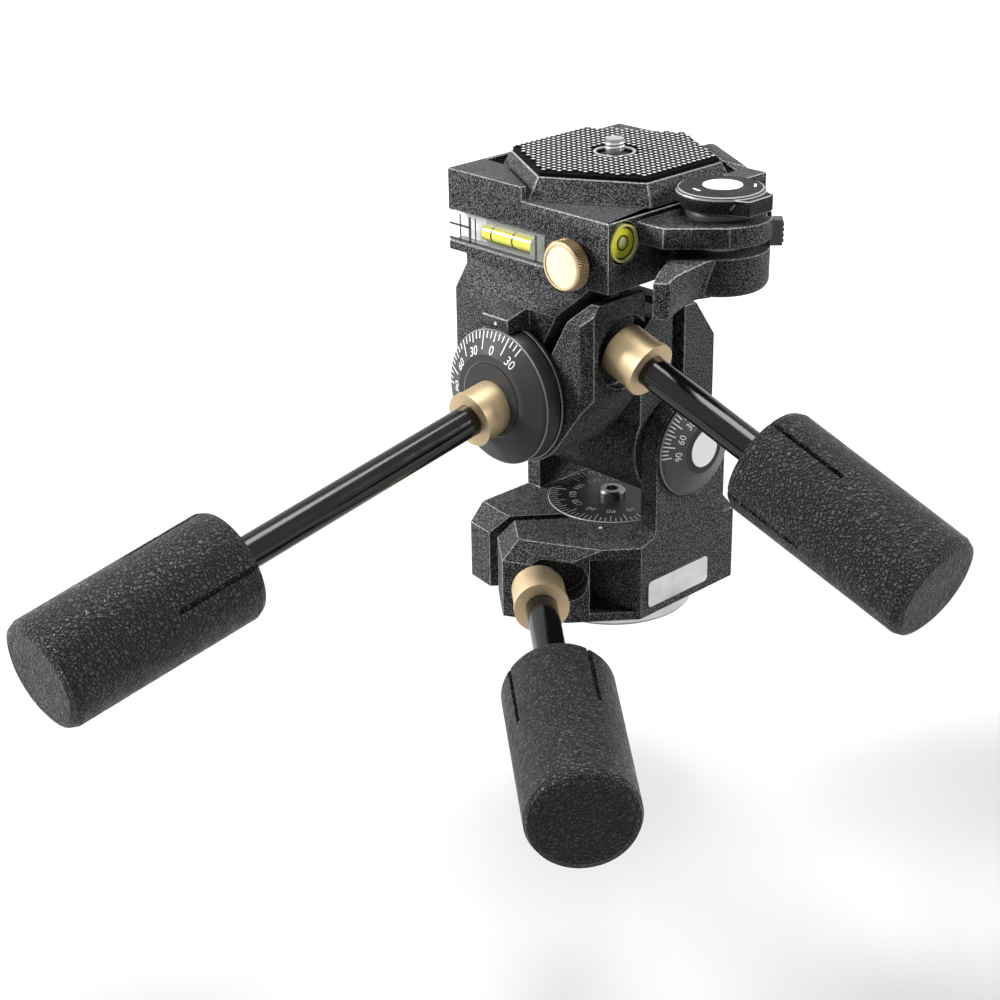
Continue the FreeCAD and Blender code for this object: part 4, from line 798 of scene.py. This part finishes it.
def shaped(item, steps):
    """Final mesh, without looks, of an object after boolean steps (operation, cutter)."""
    for index, (operation, other) in enumerate(steps):
        change = item.modifiers.new(f"step{index}", "BOOLEAN")
        change.operation = operation
        change.solver = "EXACT"
        change.object = other
    bpy.context.view_layer.update()
    depsgraph = bpy.context.evaluated_depsgraph_get()
    mesh = bpy.data.meshes.new_from_object(item.evaluated_get(depsgraph))
    for _, other in steps:
        bpy.data.objects.remove(other)
    bpy.data.objects.remove(item)
    mesh.materials.clear()
    return mesh


def upright(u, v, lift):
    """Place for outlines drawn in plan."""
    return u, v, lift


def make_platform_shell():
    """The platform casting with its back right corner cut and its rails as seen."""
    half_width, half_depth, rail_inner, far = 37.94, 43.0, 36.34, 60.0
    cut_x, cut_y = 8.84, 26.2
    slab_low, slab_top, rail_top = 134.7, 158.6, 163.4
    source = nodes["platform_casting"]
    bm = bmesh.new()
    bm.from_mesh(source.data)
    bmesh.ops.transform(bm, matrix=source.matrix_world, verts=bm.verts)
    bmesh.ops.remove_doubles(bm, verts=bm.verts, dist=0.000002)
    bmesh.ops.scale(bm, vec=(1 / MM,) * 3, verts=bm.verts)
    base = cutter("platform_base", bm)
    off_slab, off_lobe, corner, wall, edge = (bmesh.new() for _ in range(5))
    add_prism(off_slab, [(cut_x, half_depth), (half_width, cut_y), (far, cut_y), (far, 50.0),
                         (cut_x, 50.0)], upright, 134.6, 170.0)
    add_prism(off_lobe, [(half_width, cut_y), (far, cut_y), (far, 50.0), (half_width, 50.0)],
              upright, 120.0, slab_low)
    add_prism(corner, [(rail_inner, 14.0), (45.54, 14.0), (45.54, cut_y), (27.3, cut_y),
                       (rail_inner, 20.98)], upright, 150.0, rail_top)
    add_prism(wall, [(-half_width, -41.5), (-rail_inner, -41.5), (-rail_inner, 41.5),
                     (-half_width, 41.5)], upright, 158.0, rail_top)
    add_prism(edge, [(33.0, -half_depth), (half_width, -half_depth), (half_width, -42.35),
                     (33.0, -42.35)], upright, slab_low, 158.5)
    # the slab's left corners are filled, apart from where the long level crosses the front one
    fills = []
    for side, spans in ((-1, ((slab_low, 138.15), (148.85, slab_top))),
                        (1, ((slab_low, slab_top),))):
        for low, high in spans:
            fill = bmesh.new()
            add_prism(fill, [(-half_width, half_depth * side), (-36.2, half_depth * side),
                             (-half_width, 41.26 * side)], upright, low, high)
            fills.append(("UNION", cutter("corner_fill", fill)))
    mesh = shaped(base, [("DIFFERENCE", cutter("off_slab", off_slab)),
                         ("DIFFERENCE", cutter("off_lobe", off_lobe)),
                         ("UNION", cutter("corner", corner)),
                         ("UNION", cutter("wall", wall)),
                         ("UNION", cutter("edge", edge))] + fills)
    shell = ride_mesh("platform_shell", mesh, "platform", "coat")
    for polygon in mesh.polygons:
        polygon.material_index = 0
    smooth(mesh)
    mesh.set_sharp_from_angle(angle=math.radians(30))
    round_edges(shell, "coat_edge_highlight", merge_flats=True)
    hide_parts("platform_casting")


def make_disc_face():
    """Closed middle of the lateral disc, bored for the tilt handle's collar."""
    dip, root = math.radians(10.14), Vector((0, -57, 91.3))
    along = Vector((0, -math.cos(dip), -math.sin(dip)))
    side = Vector((0, -math.sin(dip), math.cos(dip)))
    plug, bore = bmesh.new(), bmesh.new()
    add_prism(plug, circle_points(12.85, 72),
              lambda u, v, lift: (u, -lift, LATERAL_AXIS_Z + v), 54.5, 60.3)
    add_prism(bore, circle_points(9.65, 64),
              lambda u, v, lift: tuple(root + Vector((u, 0, 0)) + side * v + along * lift),
              -9.0, 12.0)
    mesh = shaped(cutter("disc_plug", plug), [("DIFFERENCE", cutter("disc_bore", bore))])
    ride_mesh("lateral_disc_face", mesh, "tilt_unit", "face")


make_camera()
make_studio()
make_platform_shell()
dress_nodes()
make_disc_face()
make_scales()
make_dots()
make_long_level()
make_round_level()
make_thumb_details()
make_threads()
make_pad_bumps()
make_lever_details()
